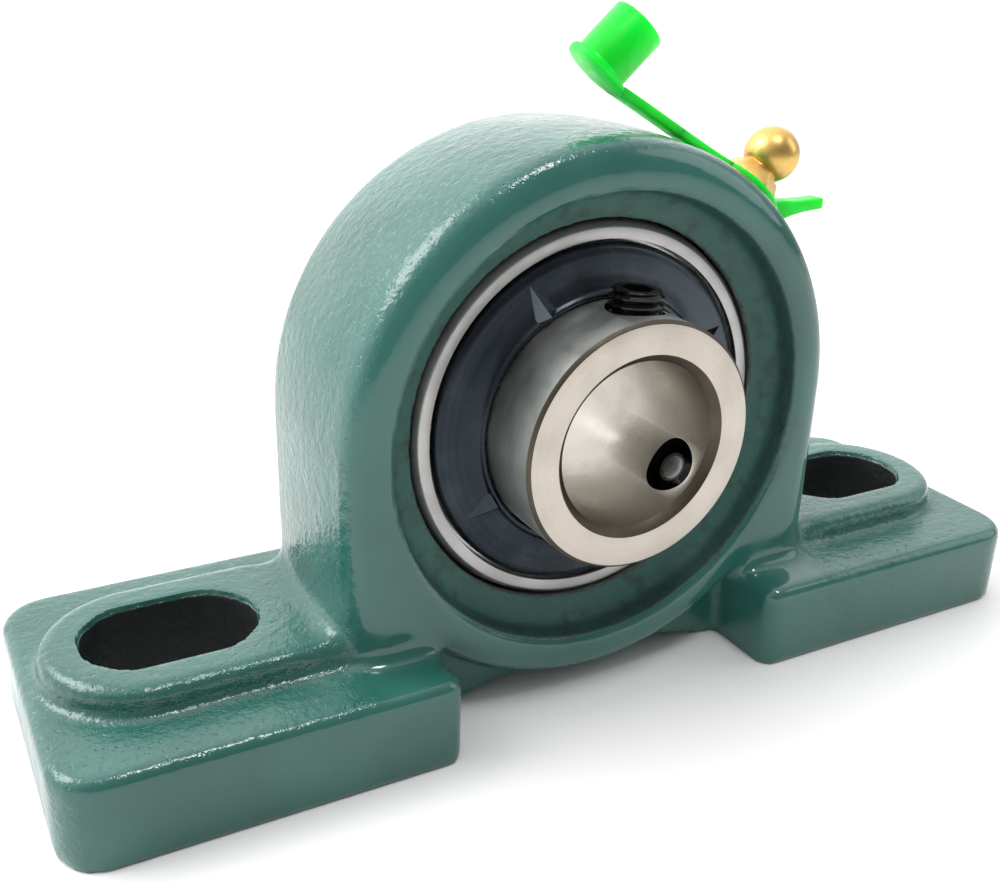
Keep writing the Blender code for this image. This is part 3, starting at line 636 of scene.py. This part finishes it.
# Slot walls: soot and painted shade.
colour = mix(tree, slot_wall, colour, SOOT_AND_SHADE)
colour = mix(tree, bare, colour, BARE_IRON)
tree.links.new(colour, shader.inputs["Base Color"])

gloss = smooth_step(tree, noise(tree, place, 300.0, 3.0), 0.3, 0.75, 0.06, 0.18)
dull = larger(tree, times(tree, band, 0.55), times(tree, slot_wall, 0.55))
gloss = larger(tree, gloss, larger(tree, dull, times(tree, bare, 0.45)))
tree.links.new(gloss, shader.inputs["Roughness"])
tree.links.new(bare, shader.inputs["Metallic"])
shader.inputs["IOR"].default_value = 1.58

flow = bump(tree, noise(tree, place, 130.0, 1.0), 0.1 * MM)
peel = bump(tree, noise(tree, place, 420.0, 2.0), 0.04 * MM, flow)
sand = times(tree, noise(tree, place, 850.0, 4.0, 0.6), sandy)
sanded = bump(tree, sand, 0.16 * MM, peel)
pits = times(tree, smooth_step(tree, noise(tree, place, 1500.0, 2.0), 0.6, 0.75, 1.0, 0.0), sandy)
pitted = bump(tree, pits, 0.05 * MM, sanded)
rough_places = larger(tree, band, slot_wall)
rough_band = times(tree, noise(tree, place, 800.0, 5.0, 0.65), rough_places)
tree.links.new(bump(tree, rough_band, 0.3 * MM, pitted), shader.inputs["Normal"])
hang(housing, "housing", "housing_enamel", enamel, "housing")

# %% [markdown]
# ## Steel finishes
#
# Several kinds of steel meet in the insert. The rings are ground: their faces and rims carry very fine
# marks that run round the shaft, so the pattern is made from the distance to the shaft and the distance
# along it, and nothing else. The pressed parts are plain bright sheet, the flingers are blued with a
# painted reflection that pales them toward the right, and the screws are blackened and oily. One function
# makes them all, from two colours, a gloss, and the depth and size of the marks.

# %% Metal


def metal(name, colour, worn_and_sheen_colour, gloss, marks_mm, stain=0.3, metallic=1.0, round_shaft=True, painted_sheen=0.0):
    """A metal with fine marks round the shaft, or in no direction, faint stains, and a painted sheen to the
    right.
    """
    finish, tree, shader = new_material(name)
    place, x, y, z = object_place(tree)
    marks_at = place
    if round_shaft:
        radius = length_of(tree, x, maths(tree, "SUBTRACT", z, SHAFT.z))
        marks_at = add_node(tree, "CombineXYZ", {0: radius, 1: y})
    mark_depth, mark_size = marks_mm
    marks = noise(tree, marks_at, 1 / (mark_size * MM), 3.0, 0.6)
    cloud = noise(tree, place, 160.0, 4.0, 0.6)
    stained = times(tree, smooth_step(tree, cloud, 0.4, 0.75), stain)
    shade = maths(tree, "ADD", stained, smooth_step(tree, marks, 0.3, 0.8, 0.0, 0.35))
    # Paler toward the right: a painted reflection of the brighter surroundings on that side.
    if painted_sheen:
        toward = maths(tree, "ADD", x, times(tree, cloud, 12 * MM))
        shade = maths(tree, "ADD", shade, smooth_step(tree, toward, -10 * MM, 20 * MM, 0.0, painted_sheen))
    tree.links.new(mix(tree, shade, (*colour, 1), (*worn_and_sheen_colour, 1)), shader.inputs["Base Color"])
    tree.links.new(smooth_step(tree, cloud, 0.25, 0.75, gloss * 0.8, gloss * 1.3), shader.inputs["Roughness"])
    tree.links.new(bump(tree, marks, mark_depth * MM), shader.inputs["Normal"])
    shader.inputs["Metallic"].default_value = metallic
    print("metal", name, "gloss", gloss)
    return finish


# %% The rings' finishes
ground_steel = metal("ground_steel", (0.53, 0.485, 0.43), (0.4, 0.36, 0.31), 0.32, (0.0012, 0.12))
race_steel = metal("race_steel", (0.43, 0.425, 0.415), (0.35, 0.345, 0.34), 0.4, (0.0012, 0.12))
turned_steel = metal("turned_steel", (0.74, 0.73, 0.71), (0.42, 0.41, 0.4), 0.42, (0.0022, 0.2))
honed_steel = metal("honed_steel", (0.42, 0.4, 0.36), (0.3, 0.28, 0.25), 0.3, (0.001, 0.1))
# The chamfer steel is near black: painted shade in place of the bright floor it reflects.
chamfer_shade_steel = metal("chamfer_shade_steel", (0.1, 0.085, 0.065), (0.06, 0.05, 0.04), 0.42, (0.002, 0.1))

# %% The other metals' finishes
evenly = {"round_shaft": False}  # marks that run in no direction
cup_steel = metal("cup_steel", (0.16, 0.16, 0.165), (0.1, 0.1, 0.1), 0.25, (0.002, 0.2), **evenly)
pressed_steel = metal("pressed_steel", (0.6, 0.6, 0.6), (0.42, 0.41, 0.4), 0.3, (0.004, 0.5), **evenly)
ball_steel = metal("ball_steel", (0.82, 0.81, 0.79), (0.7, 0.69, 0.67), 0.08, (0.0004, 0.3), **evenly)
# The punch marks' paler steel is a painted reflection.
punch_reflection_steel = metal(
    "punch_reflection_steel", (0.055, 0.066, 0.08), (0.1, 0.115, 0.13), 0.2, (0.002, 0.2), stain=0.5, **evenly
)
# The flingers' steel is painted paler toward the right as a painted reflection.
blued_steel = metal(
    "blued_steel", (0.014, 0.019, 0.026), (0.06, 0.073, 0.086), 0.26, (0.0012, 0.08), metallic=0.85, painted_sheen=0.8
)
black_oxide = metal(
    "black_oxide", (0.02, 0.02, 0.021), (0.05, 0.049, 0.047), 0.14, (0.006, 0.3), 0.4, 0.8, **evenly
)
yellow_zinc = metal("yellow_zinc", (0.72, 0.48, 0.15), (0.56, 0.33, 0.09), 0.36, (0.004, 0.5), 0.5, **evenly)

# %% [markdown]
# ## Rings
#
# Both rings are turned and ground, so each is a section spun round the shaft. The inner ring is wider than
# the outer one and sticks out at the front as a collar, where two set screws grip the shaft. Its section is
# drawn with its chamfers and with the groove that the balls run in. Small bevels catch light on every edge.

# %% Outer ring
BALL_CENTRES = 16.75
GROOVE = 4.09
BALL_RADIUS = 3.969 * MM


def outward(angle):
    """The direction out from the shaft at an angle in radians, counted from the right and upward."""
    return Vector((cos(angle), 0, sin(angle)))


def flip(points):
    """The same line for the other side, in order."""
    return [(radius, -far) for radius, far in reversed(points)]


outside = [(20.41, 8.4), (21.7, 8.4)] + arc((0, 0), 23.5, 19.9, 9.8, 6) + [(22.75, 3.7), (22.75, 1.7)]
outside += arc((0, 0), 23.5, 3.4, -19.9, 12) + [(21.7, -8.4), (20.41, -8.4)]
step_in = [(20.41, -7.25), (20.95, -7.05), (20.95, -6.15), (19.3, -5.8)]
track = arc((BALL_CENTRES, 0), GROOVE, -51.4, 51.4, 16)
outer_ring = turned("outer_race", to_mm(outside + step_in + track + flip(step_in)))
hang(break_edges(outer_ring, 0.1 * MM), "outer_ring", "ground_steel", race_steel, "outer_ring")

# %% Inner ring with its screw holes
SCREW_ANGLES = (85, -35)
SCREW_FORWARD = -(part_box("set_screw_1")[0].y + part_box("set_screw_1")[1].y) / 2
SCREW_PLACE = SHAFT + FRONT * SCREW_FORWARD
HOLE_RADIUS, HOLE_START, HOLE_END = 3.25 * MM, 7, 18
SCREW_OUT = [outward(radians(angle)) for angle in SCREW_ANGLES]

inner_front = [(10.44, 18.3), (13.72, 18.3), (14.12, 17.9)]
inner_rear = [(14.12, -12.3), (13.72, -12.7), (10.44, -12.7)]
inner_track = arc((BALL_CENTRES, 0), GROOVE, 130, 230, 16)
inner_line = inner_front + inner_track + inner_rear + [(9.525, -11.8), (9.525, 17.4)]
inner_ring = turned("inner_race", to_mm(inner_line), steps=160)
for out in SCREW_OUT:
    wide = HOLE_RADIUS / MM
    hole = to_mm([(0, HOLE_END), (wide, HOLE_END), (wide, HOLE_START), (0, HOLE_START)])
    combine(inner_ring, "DIFFERENCE", turned("hole", hole, SCREW_PLACE, out, FRONT, steps=48, ring=False))
break_edges(inner_ring, 0.07 * MM)
hang(inner_ring, "inner_ring", "ground_steel", ground_steel, "inner_ring")

# %% Finish of each face of the inner ring
BORE_RADIUS, BORE_CHAMFER = 9.525 * MM, 10.4 * MM
COLLAR_START = 4 * MM

TURNED, HONED, CHAMFER, BLACKENED = 1, 2, 3, 4
for finish in (turned_steel, honed_steel, chamfer_shade_steel, black_oxide):
    inner_ring.data.materials.append(finish)
for face in inner_ring.data.polygons:
    radius = Vector((face.center.x, face.center.z - SHAFT.z)).length
    forward = -face.center.y
    flat = abs(face.normal.y)
    in_hole = any(
        (face.center - SCREW_PLACE).cross(out).length < HOLE_RADIUS + 0.02 * MM
        and (face.center - SHAFT).dot(out) > 0
        and abs(face.normal.dot(out)) < 0.3
        for out in SCREW_OUT
    )
    if in_hole:
        face.material_index = BLACKENED
    elif radius < BORE_RADIUS + 0.05 * MM:
        face.material_index = HONED
    # Chamfers get the near-black steel of painted shade.
    elif radius < BORE_CHAMFER or 0.2 < flat < 0.9:
        face.material_index = CHAMFER
    elif flat < 0.2 and forward > COLLAR_START:
        face.material_index = TURNED
print("inner ring faces painted by their place")

# %% [markdown]
# ## Seals and flingers
#
# Each side is closed three times: a steel plate pressed into the outer ring, a rubber lip on the plate's
# edge that rubs the inner ring, and outside them a flinger that spins with the inner ring and throws dirt
# off. The flinger is blued sheet with a rolled neck. It is locked to the collar by four punch marks, which
# push a small ridge out of the sheet. Each ridge is a triangle whose raised side is drawn together at the
# neck, and the ridge's sides are painted paler than the sheet as a painted reflection.

# %% Rubber
rubber, tree, shader = new_material("seal_rubber")
place, x, y, z = object_place(tree)
bloom = smooth_step(tree, noise(tree, place, 400.0, 4.0), 0.35, 0.75)
RUBBER_BLACK, RUBBER_BLOOM = (0.012, 0.012, 0.013, 1), (0.03, 0.03, 0.032, 1)
tree.links.new(mix(tree, bloom, RUBBER_BLACK, RUBBER_BLOOM), shader.inputs["Base Color"])
tree.links.new(smooth_step(tree, noise(tree, place, 900.0), 0.3, 0.7, 0.5, 0.75), shader.inputs["Roughness"])
tree.links.new(bump(tree, noise(tree, place, 2500.0), 0.01 * MM), shader.inputs["Normal"])
print("rubber")

# %% Plates and lips
PLATE = [(15.4, 6.85), (17.4, 6.85), (17.7, 6.7), (19.3, 6.7), (19.6, 6.85), (20.7, 6.85)]
PLATE += [(20.7, 6.35), (19.6, 6.35), (19.3, 6.2), (17.7, 6.2), (17.4, 6.35), (15.4, 6.35)]
LIP = [(14.4, 5.95), (15, 6.15), (17.3, 6.15), (17.3, 5.4), (16.6, 5.3), (15.2, 5.4), (14.4, 5.7)]

seal_kinds = (("plate", PLATE, "cage_steel", pressed_steel), ("lip", LIP, "seal_rubber", rubber))
for label, side in (("front", 1), ("rear", -1)):
    for kind, line, slot_name, finish in seal_kinds:
        section = [(radius, side * far) for radius, far in line]
        piece = break_edges(turned(f"{kind}_{label}", to_mm(section), steps=96), 0.06 * MM)
        hang(piece, "outer_ring", slot_name, finish, f"seal_{kind}_{label}")

# %% Flingers with punch marks
NECK = [(14.3, 9.55), (14.42, 9.72), (14.62, 9.76), (14.82, 9.68), (14.95, 9.45), (15.3, 9.22)]
DISH = [(17, 8.98), (18.8, 8.79), (19.4, 8.68), (19.8, 8.45), (20.02, 8.1), (20.05, 7.6)]
INSIDE = [(19.6, 7.6), (19.5, 7.98), (19.2, 8.16), (17, 8.4), (14.3, 8.6)]
PUNCH_ANGLES = (28, 119, 210, 300)
MARK_NECK, MARK_TIP, MARK_HALF_WIDTH = 14.7, 19.0, 1.95
MARK_BASE, MARK_STEP = 8.7, 0.5
MARK_PEAK = (15.2, 10.7)


def punch_mark(angle, side):
    """A closed ridge: a triangle that points outward, pushed up and drawn together at the neck."""
    out = outward(radians(angle))
    across = out.cross(FRONT)
    neck, half = out * MARK_NECK, across * MARK_HALF_WIDTH
    corners = [neck + half, out * MARK_TIP, neck - half]
    mark = draw_line("punch_mark", [SHAFT + (corner + FRONT * side * MARK_BASE) * MM for corner in corners])
    bpy.ops.mesh.edge_face_add()
    push(FRONT * side * MARK_STEP * MM)
    bpy.ops.mesh.merge(type="CENTER")
    shape = bmesh.from_edit_mesh(mark.data)
    peak = max(shape.verts, key=lambda vertex: side * vertex.co.dot(FRONT))
    target = SHAFT + (out * MARK_PEAK[0] + FRONT * side * MARK_PEAK[1]) * MM
    bpy.ops.transform.translate(value=target - peak.co)
    return close_up(mark)


for label, side in (("front", 1), ("rear", -1)):
    section = [(radius, side * far) for radius, far in NECK + DISH + INSIDE]
    disc = break_edges(turned(f"blued_disc_{label}", to_mm(section)), 0.05 * MM)
    for angle in PUNCH_ANGLES:
        combine(disc, "UNION", punch_mark(angle, side))
    hang(disc, "inner_ring", "flinger_steel", blued_steel, f"flinger_{label}")
    # The ridge's sides get the paler steel as a painted reflection.
    disc.data.materials.append(punch_reflection_steel)
    for face in disc.data.polygons:
        round_shaft = (face.center - SHAFT).cross(FRONT).normalized()
        if abs(face.normal.dot(round_shaft)) > 0.3:
            face.material_index = 1

# %% [markdown]
# ## Set screws
#
# Each screw is a short blackened stud with a fine thread, a six-sided socket and a cup point. A drawn-on
# thread would look flat where the screw stands out of the collar, so it is a real one: one V of the thread
# is swept round and upward by the Screw modifier, the ends are cut flat and filled with bisect, and a
# Boolean with a chamfered envelope tapers both ends. It is modelled once, upright, and each copy is set
# down. The cup that bites into the shaft is ground last, so it is bare and greyer than the rest.

# %% One set screw
THREAD_RADIUS, THREAD_ROOT, THREAD_PITCH = 3.0, 2.5, 0.9
SCREW_LENGTH, THREAD_TURNS = 6.35, 10
SOCKET_RADIUS, SOCKET_DEPTH, SOCKET_CUT = 1.83, 2.6, 4
ORIGIN = Vector((0, 0, 0))

tooth = [(THREAD_ROOT, -1.5), (THREAD_RADIUS, -1.12), (THREAD_RADIUS, -1.0)]
tooth += [(THREAD_ROOT, THREAD_PITCH - 1.5)]
stud = draw_line("stud", [Vector((radius, 0, height)) * MM for radius, height in tooth])
bpy.ops.object.mode_set(mode="OBJECT")
modify(stud, "SCREW", steps=40, render_steps=40, screw_offset=THREAD_PITCH * MM, iterations=THREAD_TURNS)
bpy.ops.object.mode_set(mode="EDIT")
bpy.ops.mesh.select_all(action="SELECT")
bpy.ops.mesh.remove_doubles(threshold=MERGE_WITHIN)
for height, facing_out in ((-0.5, -UP), (SCREW_LENGTH + 0.5, UP)):
    bpy.ops.mesh.select_all(action="SELECT")
    bpy.ops.mesh.bisect(plane_co=UP * height * MM, plane_no=facing_out, use_fill=True, clear_outer=True)
close_up(stud)

envelope = [(0, 6.35), (2.55, 6.35), (3.05, 5.9), (3.05, 1.1), (1.75, 0), (1.4, 0), (0, 0.8)]
combine(stud, "INTERSECT", turned("envelope", to_mm(envelope), ORIGIN, UP, RIGHT, steps=64, ring=False))
six_corners = arc((0, 0), SOCKET_RADIUS, 0, 300, 5)
socket_line = [Vector((x, y, SCREW_LENGTH - SOCKET_DEPTH)) * MM for x, y in six_corners]
combine(stud, "DIFFERENCE", slab("socket", socket_line, UP * SOCKET_CUT * MM))
print("screw has", len(stud.data.polygons), "faces")


# %% Set a copy down on its line
def set_down(piece, name, base, along):
    """A copy with its own mesh, its local Z laid along a line that starts at base."""
    copy = bpy.data.objects.new(name, piece.data.copy())
    bpy.context.scene.collection.objects.link(copy)
    copy.data.transform(Matrix.Translation(base) @ along.to_track_quat("Z", "Y").to_matrix().to_4x4())
    return copy


SCREW_INNER_END = 9.9 * MM
CUP_RADIUS, CUP_DEPTH = 1.38 * MM, 0.85 * MM
for number, out in enumerate(SCREW_OUT, 1):
    screw = set_down(stud, f"screw_{number}", SCREW_PLACE + out * SCREW_INNER_END, out)
    hang(screw, f"set_screw_{number}", "black_oxide", black_oxide, f"set_screw_{number}")
    screw.data.materials.append(cup_steel)
    for face in screw.data.polygons:
        from_end = (face.center - SCREW_PLACE).dot(out) - SCREW_INNER_END
        off_line = (face.center - SCREW_PLACE).cross(out).length
        if off_line < CUP_RADIUS and from_end < CUP_DEPTH:
            face.material_index = 1
bpy.data.objects.remove(stud)

# %% [markdown]
# ## Balls, cage and rivets
#
# They are hidden until the insert is taken apart, but they are there. A ball made from a cube that is
# subdivided and cast to a sphere has even faces and no poles. The cage is a ribbon that bulges round each
# ball: its middle line is drawn once round the shaft, extruded outward, and given its thickness by
# Solidify.

# %% Balls
BALLS = 8
PITCH = BALL_CENTRES * MM


def round_ball(name, place, radius, node):
    """A cube cut fine and cast to a sphere. Each ball's node and its body share one name."""
    bpy.ops.object.select_all(action="DESELECT")
    bpy.ops.mesh.primitive_cube_add(size=radius)
    ball = bpy.context.object
    ball.name = name
    bpy.ops.object.mode_set(mode="EDIT")
    bpy.ops.mesh.subdivide(number_cuts=11)
    bpy.ops.object.mode_set(mode="OBJECT")
    modify(ball, "CAST", cast_type="SPHERE", factor=1.0, use_radius_as_size=False, size=radius)
    size = max(vertex.co.length for vertex in ball.data.vertices)
    ball.data.transform(Matrix.Translation(place) @ Matrix.Scale(radius / size, 4))
    return hang(ball, node, "ball_steel", ball_steel, node)


def on_pitch(angle):
    """A point on the circle of the balls' centres."""
    return SHAFT + outward(angle) * PITCH


for number in range(1, BALLS + 1):
    place = on_pitch(pi / 2 + 2 * pi * (number - 1) / BALLS)
    round_ball(f"steel_ball_{number}", place, BALL_RADIUS, f"ball_{number}")

# %% Cage halves
CAGE_INNER, CAGE_OUTER = 15.3 * MM, 18.2 * MM
SHEET, HALF_GAP, POCKET = 0.6 * MM, 0.12 * MM, 4.2 * MM
RIBBON_STEPS = 26

for name, side in (("front", 1), ("rear", -1)):
    line = []
    for step in range(BALLS * RIBBON_STEPS):
        angle = pi / 2 + 2 * pi * step / (BALLS * RIBBON_STEPS)
        nearest = round((angle - pi / 2) / (2 * pi / BALLS)) * 2 * pi / BALLS + pi / 2
        offset = (angle - nearest) * PITCH
        rise = sqrt(POCKET**2 - offset**2) if abs(offset) < POCKET else 0
        line.append(SHAFT + outward(angle) * CAGE_INNER + FRONT * side * max(rise, HALF_GAP))
    ribbon = draw_line(f"cage_{name}", line + line[:1])
    bpy.ops.mesh.remove_doubles(threshold=MERGE_WITHIN)
    bpy.ops.mesh.extrude_region_move()
    grow = CAGE_OUTER / CAGE_INNER
    bpy.ops.transform.resize(value=(grow, 1, grow), center_override=SHAFT)
    close_up(ribbon)
    away = sum(face.normal.dot(FRONT) * side * face.area for face in ribbon.data.polygons)
    modify(ribbon, "SOLIDIFY", thickness=SHEET, offset=1 if away > 0 else -1)
    break_edges(ribbon, 0.08 * MM, 1)
    hang(ribbon, "cage", "cage_steel", pressed_steel, f"cage_half_{name}")

# %% Rivets
button = [(0, 1.34), (0.45, 1.3), (0.8, 1.18), (1.0, 1.0), (1.05, 0.84), (0.55, 0.84)]
rivet = turned("rivet", to_mm(button + flip(button)), ORIGIN, UP, RIGHT, steps=24, ring=False)
for number in range(1, BALLS + 1):
    place = on_pitch(pi / 2 + 2 * pi * (number - 0.5) / BALLS)
    placed = set_down(rivet, f"rivet_{number}", place, FRONT)
    hang(placed, "cage", "cage_steel", pressed_steel, f"cage_rivet_{number}")
bpy.data.objects.remove(rivet)

# %% [markdown]
# ## Grease nipple
#
# The nipple is turned from steel bar and yellow zinc plated, so it looks like soft brass. A grease gun
# grips its ball head. Under the neck a six-sided skirt widens downward. The body is spun as one section
# with its bore, and the skirt is a hexagon pushed up and drawn in, then joined to it. Inside, a small ball
# is pressed against the mouth by a coil spring. The spring is a ring of wire swept round by the Screw
# modifier.

# %% Nipple body
HEAD_CENTRE, NIPPLE_RADIUS = 38.0, 3.25
SKIRT_LOW, SKIRT_HIGH = 33.4, 35.4
SKIRT_RADIUS, SKIRT_TAPER, SKIRT_TURN = 4.0, 0.72, 20

ball_head = arc((0, HEAD_CENTRE), NIPPLE_RADIUS, 68, -42, 18)
neck_and_shank = [(2.2, 35.7), (2.25, 35.2), (2.85, 33.8), (2.85, 27.9), (2.35, 27.4)]
outer_line = [(0.8, 41.05), (1.05, 41.12)] + ball_head + neck_and_shank
bore_line = [(0.9, 27.4), (0.9, 31.9), (1.55, 32.1), (1.55, 39.1), (0.8, 40.1)]
nipple = turned("nipple", to_mm(outer_line + bore_line), *NIPPLE_AXIS, steps=72)

skirt_side = NIPPLE_LINE.cross(NIPPLE_OUT)
skirt_base = NIPPLE_BASE + NIPPLE_LINE * SKIRT_LOW * MM
ring_of_six = arc((0, 0), SKIRT_RADIUS * MM, SKIRT_TURN, SKIRT_TURN + 300, 5)
skirt = draw_line("skirt", [skirt_base + NIPPLE_OUT * x + skirt_side * y for x, y in ring_of_six])
bpy.ops.mesh.edge_face_add()
push(NIPPLE_LINE * (SKIRT_HIGH - SKIRT_LOW) * MM)
skirt_top = NIPPLE_BASE + NIPPLE_LINE * SKIRT_HIGH * MM
bpy.ops.transform.resize(value=(SKIRT_TAPER,) * 3, center_override=skirt_top)
close_up(skirt)
break_edges(skirt, 0.14 * MM, 3)
bore = to_mm([(0, 32), (1.55, 32), (1.55, 37), (0, 37)])
combine(skirt, "DIFFERENCE", turned("bore", bore, *NIPPLE_AXIS, steps=72, ring=False))
combine(nipple, "UNION", skirt)
hang(nipple, "housing", "yellow_zinc", yellow_zinc, "grease_nipple")

# %% Check ball
check_low, check_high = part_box("nipple_check_ball")
check_place, check_radius = (check_low + check_high) / 2, (check_high.y - check_low.y) / 2
round_ball("check_ball", check_place, check_radius, "nipple_check_ball")

# %% Spring under the check ball
WIRE, COIL_RADIUS, COILS = 0.16, 1.15, 4
COIL_LOW, COIL_GAP, TOP_COIL = 32.35, 0.15, 0.6
ball_foot = (check_place - NIPPLE_BASE).dot(NIPPLE_LINE) - check_radius
COIL_HIGH = ball_foot / MM - WIRE - COIL_GAP
wire_ring = [Vector((x, 0, z)) * MM for x, z in arc((COIL_RADIUS, COIL_LOW), WIRE, 0, 360, 10)]
coil = draw_line("coil", wire_ring)
bpy.ops.mesh.remove_doubles(threshold=MERGE_WITHIN)
bpy.ops.object.mode_set(mode="OBJECT")
rise = (COIL_HIGH - COIL_LOW) / COILS * MM
modify(coil, "SCREW", steps=24, render_steps=24, screw_offset=rise, iterations=COILS)
bpy.ops.object.mode_set(mode="EDIT")
bpy.ops.mesh.select_all(action="SELECT")
bpy.ops.mesh.fill_holes(sides=0)
close_up(coil)
spring = set_down(coil, "check_spring", NIPPLE_BASE, NIPPLE_LINE)
bpy.data.objects.remove(coil)
hang(spring, None, "ball_steel", ball_steel, "nipple_spring")
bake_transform(spring)

# %% [markdown]
# ## Dust cap, strap and ring
#
# A soft bright-green moulding keeps dirt off the nipple: a cap, a thin strap, and a ring with a pull tab
# that the nipple holds down. It hangs open here. Thin plastic glows where light passes through it, so the
# finish scatters some light under its surface. The strap must bend when the cap is swung onto the nipple.
# It is drawn whole and cut at its middle into two pieces that meet there.

# %% Green plastic
cap_plastic, tree, shader = new_material("soft_green_plastic")
place, x, y, z = object_place(tree)
flow_lines = smooth_step(tree, noise(tree, place, 220.0, 3.0), 0.3, 0.7)
CAP_GREEN, CAP_GREEN_PALE = (0.001, 0.56, 0.018, 1), (0.003, 0.68, 0.045, 1)
green = mix(tree, flow_lines, CAP_GREEN, CAP_GREEN_PALE)
tree.links.new(green, shader.inputs["Base Color"])
tree.links.new(smooth_step(tree, noise(tree, place, 700.0), 0.3, 0.7, 0.28, 0.42), shader.inputs["Roughness"])
grain = bump(tree, noise(tree, place, 1800.0, 2.0), 0.006 * MM)
tree.links.new(bump(tree, noise(tree, place, 300.0, 1.0), 0.03 * MM, grain), shader.inputs["Normal"])
shader.inputs["Specular IOR Level"].default_value = 0.3
shader.inputs["Subsurface Weight"].default_value = 1.0
shader.inputs["Subsurface Radius"].default_value = (0.3, 1.0, 0.4)
shader.inputs["Subsurface Scale"].default_value = 0.004
print("green plastic")

# %% Cap
strap_low, strap_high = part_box("dust_cap_strap")
STRAP_Y = (strap_low.y + strap_high.y) / 2
STRAP_HALF_WIDTH = (strap_high.y - strap_low.y) / 2
CAP_PLACE = Vector((1.3 * MM, STRAP_Y, 70.28 * MM))
CAP_LEAN = radians(6)
CAP_LINE = NIPPLE_LINE * cos(CAP_LEAN) + FRONT * sin(CAP_LEAN)

cap_outside = [(0, 0), (3.5, 0), (3.66, 0.06), (3.72, 0.2), (3.72, 0.56), (3.66, 0.7), (3.5, 0.75)]
cap_outside += [(3.3, 0.77), (3.19, 0.85), (3.15, 1.0), (3.12, 6.7), (3.06, 6.84), (2.94, 6.88)]
cap_inside = [(2.7, 6.88), (2.58, 6.8), (2.55, 6.6), (2.5, 1.6), (2.4, 1.3), (2.15, 1.15), (0, 1.15)]
cap = turned("cap", to_mm(cap_outside + cap_inside), CAP_PLACE, CAP_LINE, NIPPLE_OUT, steps=96, ring=False)
hang(cap, "dust_cap", "cap_plastic", cap_plastic, "dust_cap")

# %% Ring and pull tab
RING_LINE = [(3.2, 32.25), (4.65, 32.25), (4.8, 32.4), (4.8, 32.95), (4.65, 33.1), (3.2, 33.1)]
TAB = [(26.4, 53.3, 1.0), (27.6, 53.42, 1.12), (28.8, 53.6, 1.12), (30.3, 53.72, 0.88), (31.8, 53.82, 0.74)]
TAB += [(33.4, 53.9, 0.68), (34.95, 53.97, 0.68)]
TAB_HALF_WIDTH = 1.25 * MM

cap_ring = turned("cap_ring", to_mm(RING_LINE), *NIPPLE_AXIS, steps=96)
tab_side = [(x, z + half) for x, z, half in TAB] + [(x, z - half) for x, z, half in reversed(TAB)]
tab_start = [Vector((x * MM, STRAP_Y - TAB_HALF_WIDTH, z * MM)) for x, z in tab_side]
tab = slab("tab", tab_start, -FRONT * 2 * TAB_HALF_WIDTH)
break_edges(tab, 0.3 * MM, 3)
combine(cap_ring, "UNION", tab)
hang(cap_ring, "housing", "cap_plastic", cap_plastic, "dust_cap_ring")

# %% Strap
STRAP_HALF = 0.5 * MM
STRAP_STEPS = 30
STRAP_EDGE = 0.15 * MM
hinge_place = {joint["name"]: Vector(joint["pos_m"]) for joint in frame["joints"] if joint.get("pos_m")}
ROOT_HINGE, TIP_HINGE = hinge_place["dust_cap_strap_bend"], hinge_place["dust_cap_bend"]

INTO_CAP, TOWARD_LID, TIP_PULL = 0.8, 0.25, 0.33
INTO_RING, ROOT_PULL = Vector((1.2, 0, -0.7)), Vector((-2.4, 0, 1.0))

tip = TIP_HINGE + ((TIP_HINGE - ROOT_HINGE).normalized() * INTO_CAP + NIPPLE_LINE * TOWARD_LID) * MM
root = ROOT_HINGE + INTO_RING * MM
tip_pull = tip + (ROOT_HINGE - TIP_HINGE) * TIP_PULL
root_pull = ROOT_HINGE + ROOT_PULL * MM


def strap_point(share):
    """A point of the strap's middle line, from the cap at 0 to the ring at 1, as a smooth curve."""
    left = 1 - share
    return tip * left**3 + tip_pull * 3 * left**2 * share + root_pull * 3 * left * share**2 + root * share**3


def strap_half(name, clear):
    """The whole strap drawn in side view, pushed across its width, softened, and cut at its middle."""
    shares = [i / STRAP_STEPS for i in range(STRAP_STEPS + 1)]
    nudge = 0.5 / STRAP_STEPS
    middle = [strap_point(share) for share in shares]
    runs = [strap_point(share + nudge) - strap_point(share - nudge) for share in shares]
    thick = [FRONT.cross(run).normalized() * STRAP_HALF for run in runs]
    edge = [point + lift for point, lift in zip(middle, thick)]
    edge += [point - lift for point, lift in reversed(list(zip(middle, thick)))]
    piece = slab(name, [point + FRONT * STRAP_HALF_WIDTH for point in edge], -FRONT * 2 * STRAP_HALF_WIDTH)
    break_edges(piece, STRAP_EDGE)
    bpy.ops.object.mode_set(mode="EDIT")
    bpy.ops.mesh.select_all(action="SELECT")
    ahead = (strap_point(0.51) - strap_point(0.49)).normalized()
    bpy.ops.mesh.bisect(plane_co=strap_point(0.5), plane_no=ahead, use_fill=True, **{clear: True})
    return close_up(piece)


tip_half = strap_half("strap_cap_end", "clear_outer")
root_half = strap_half("strap_ring_end", "clear_inner")
hang(tip_half, None, "cap_plastic", cap_plastic, "dust_cap_strap")
hang(root_half, None, "cap_plastic", cap_plastic, "dust_cap_strap")
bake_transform(tip_half)
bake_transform(root_half)
lowest = min((strap_point(i / 40) - SHAFT).xz.length for i in range(41)) - STRAP_HALF
print("strap passes", round((lowest - HEAD_RADIUS - HEAD_CROWN) / MM, 2), "mm above the head")

# %% [markdown]
# ## Measure and finish
#
# The looks must not change the object's size, so the box of what shows is written beside the frame's own
# box.

# %% Compare sizes and finish
seen_low, seen_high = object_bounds()
for label, size in (("CAD", cad_high - cad_low), ("seen", seen_high - seen_low)):
    print(label, [round(length / MM, 2) for length in size], "mm")
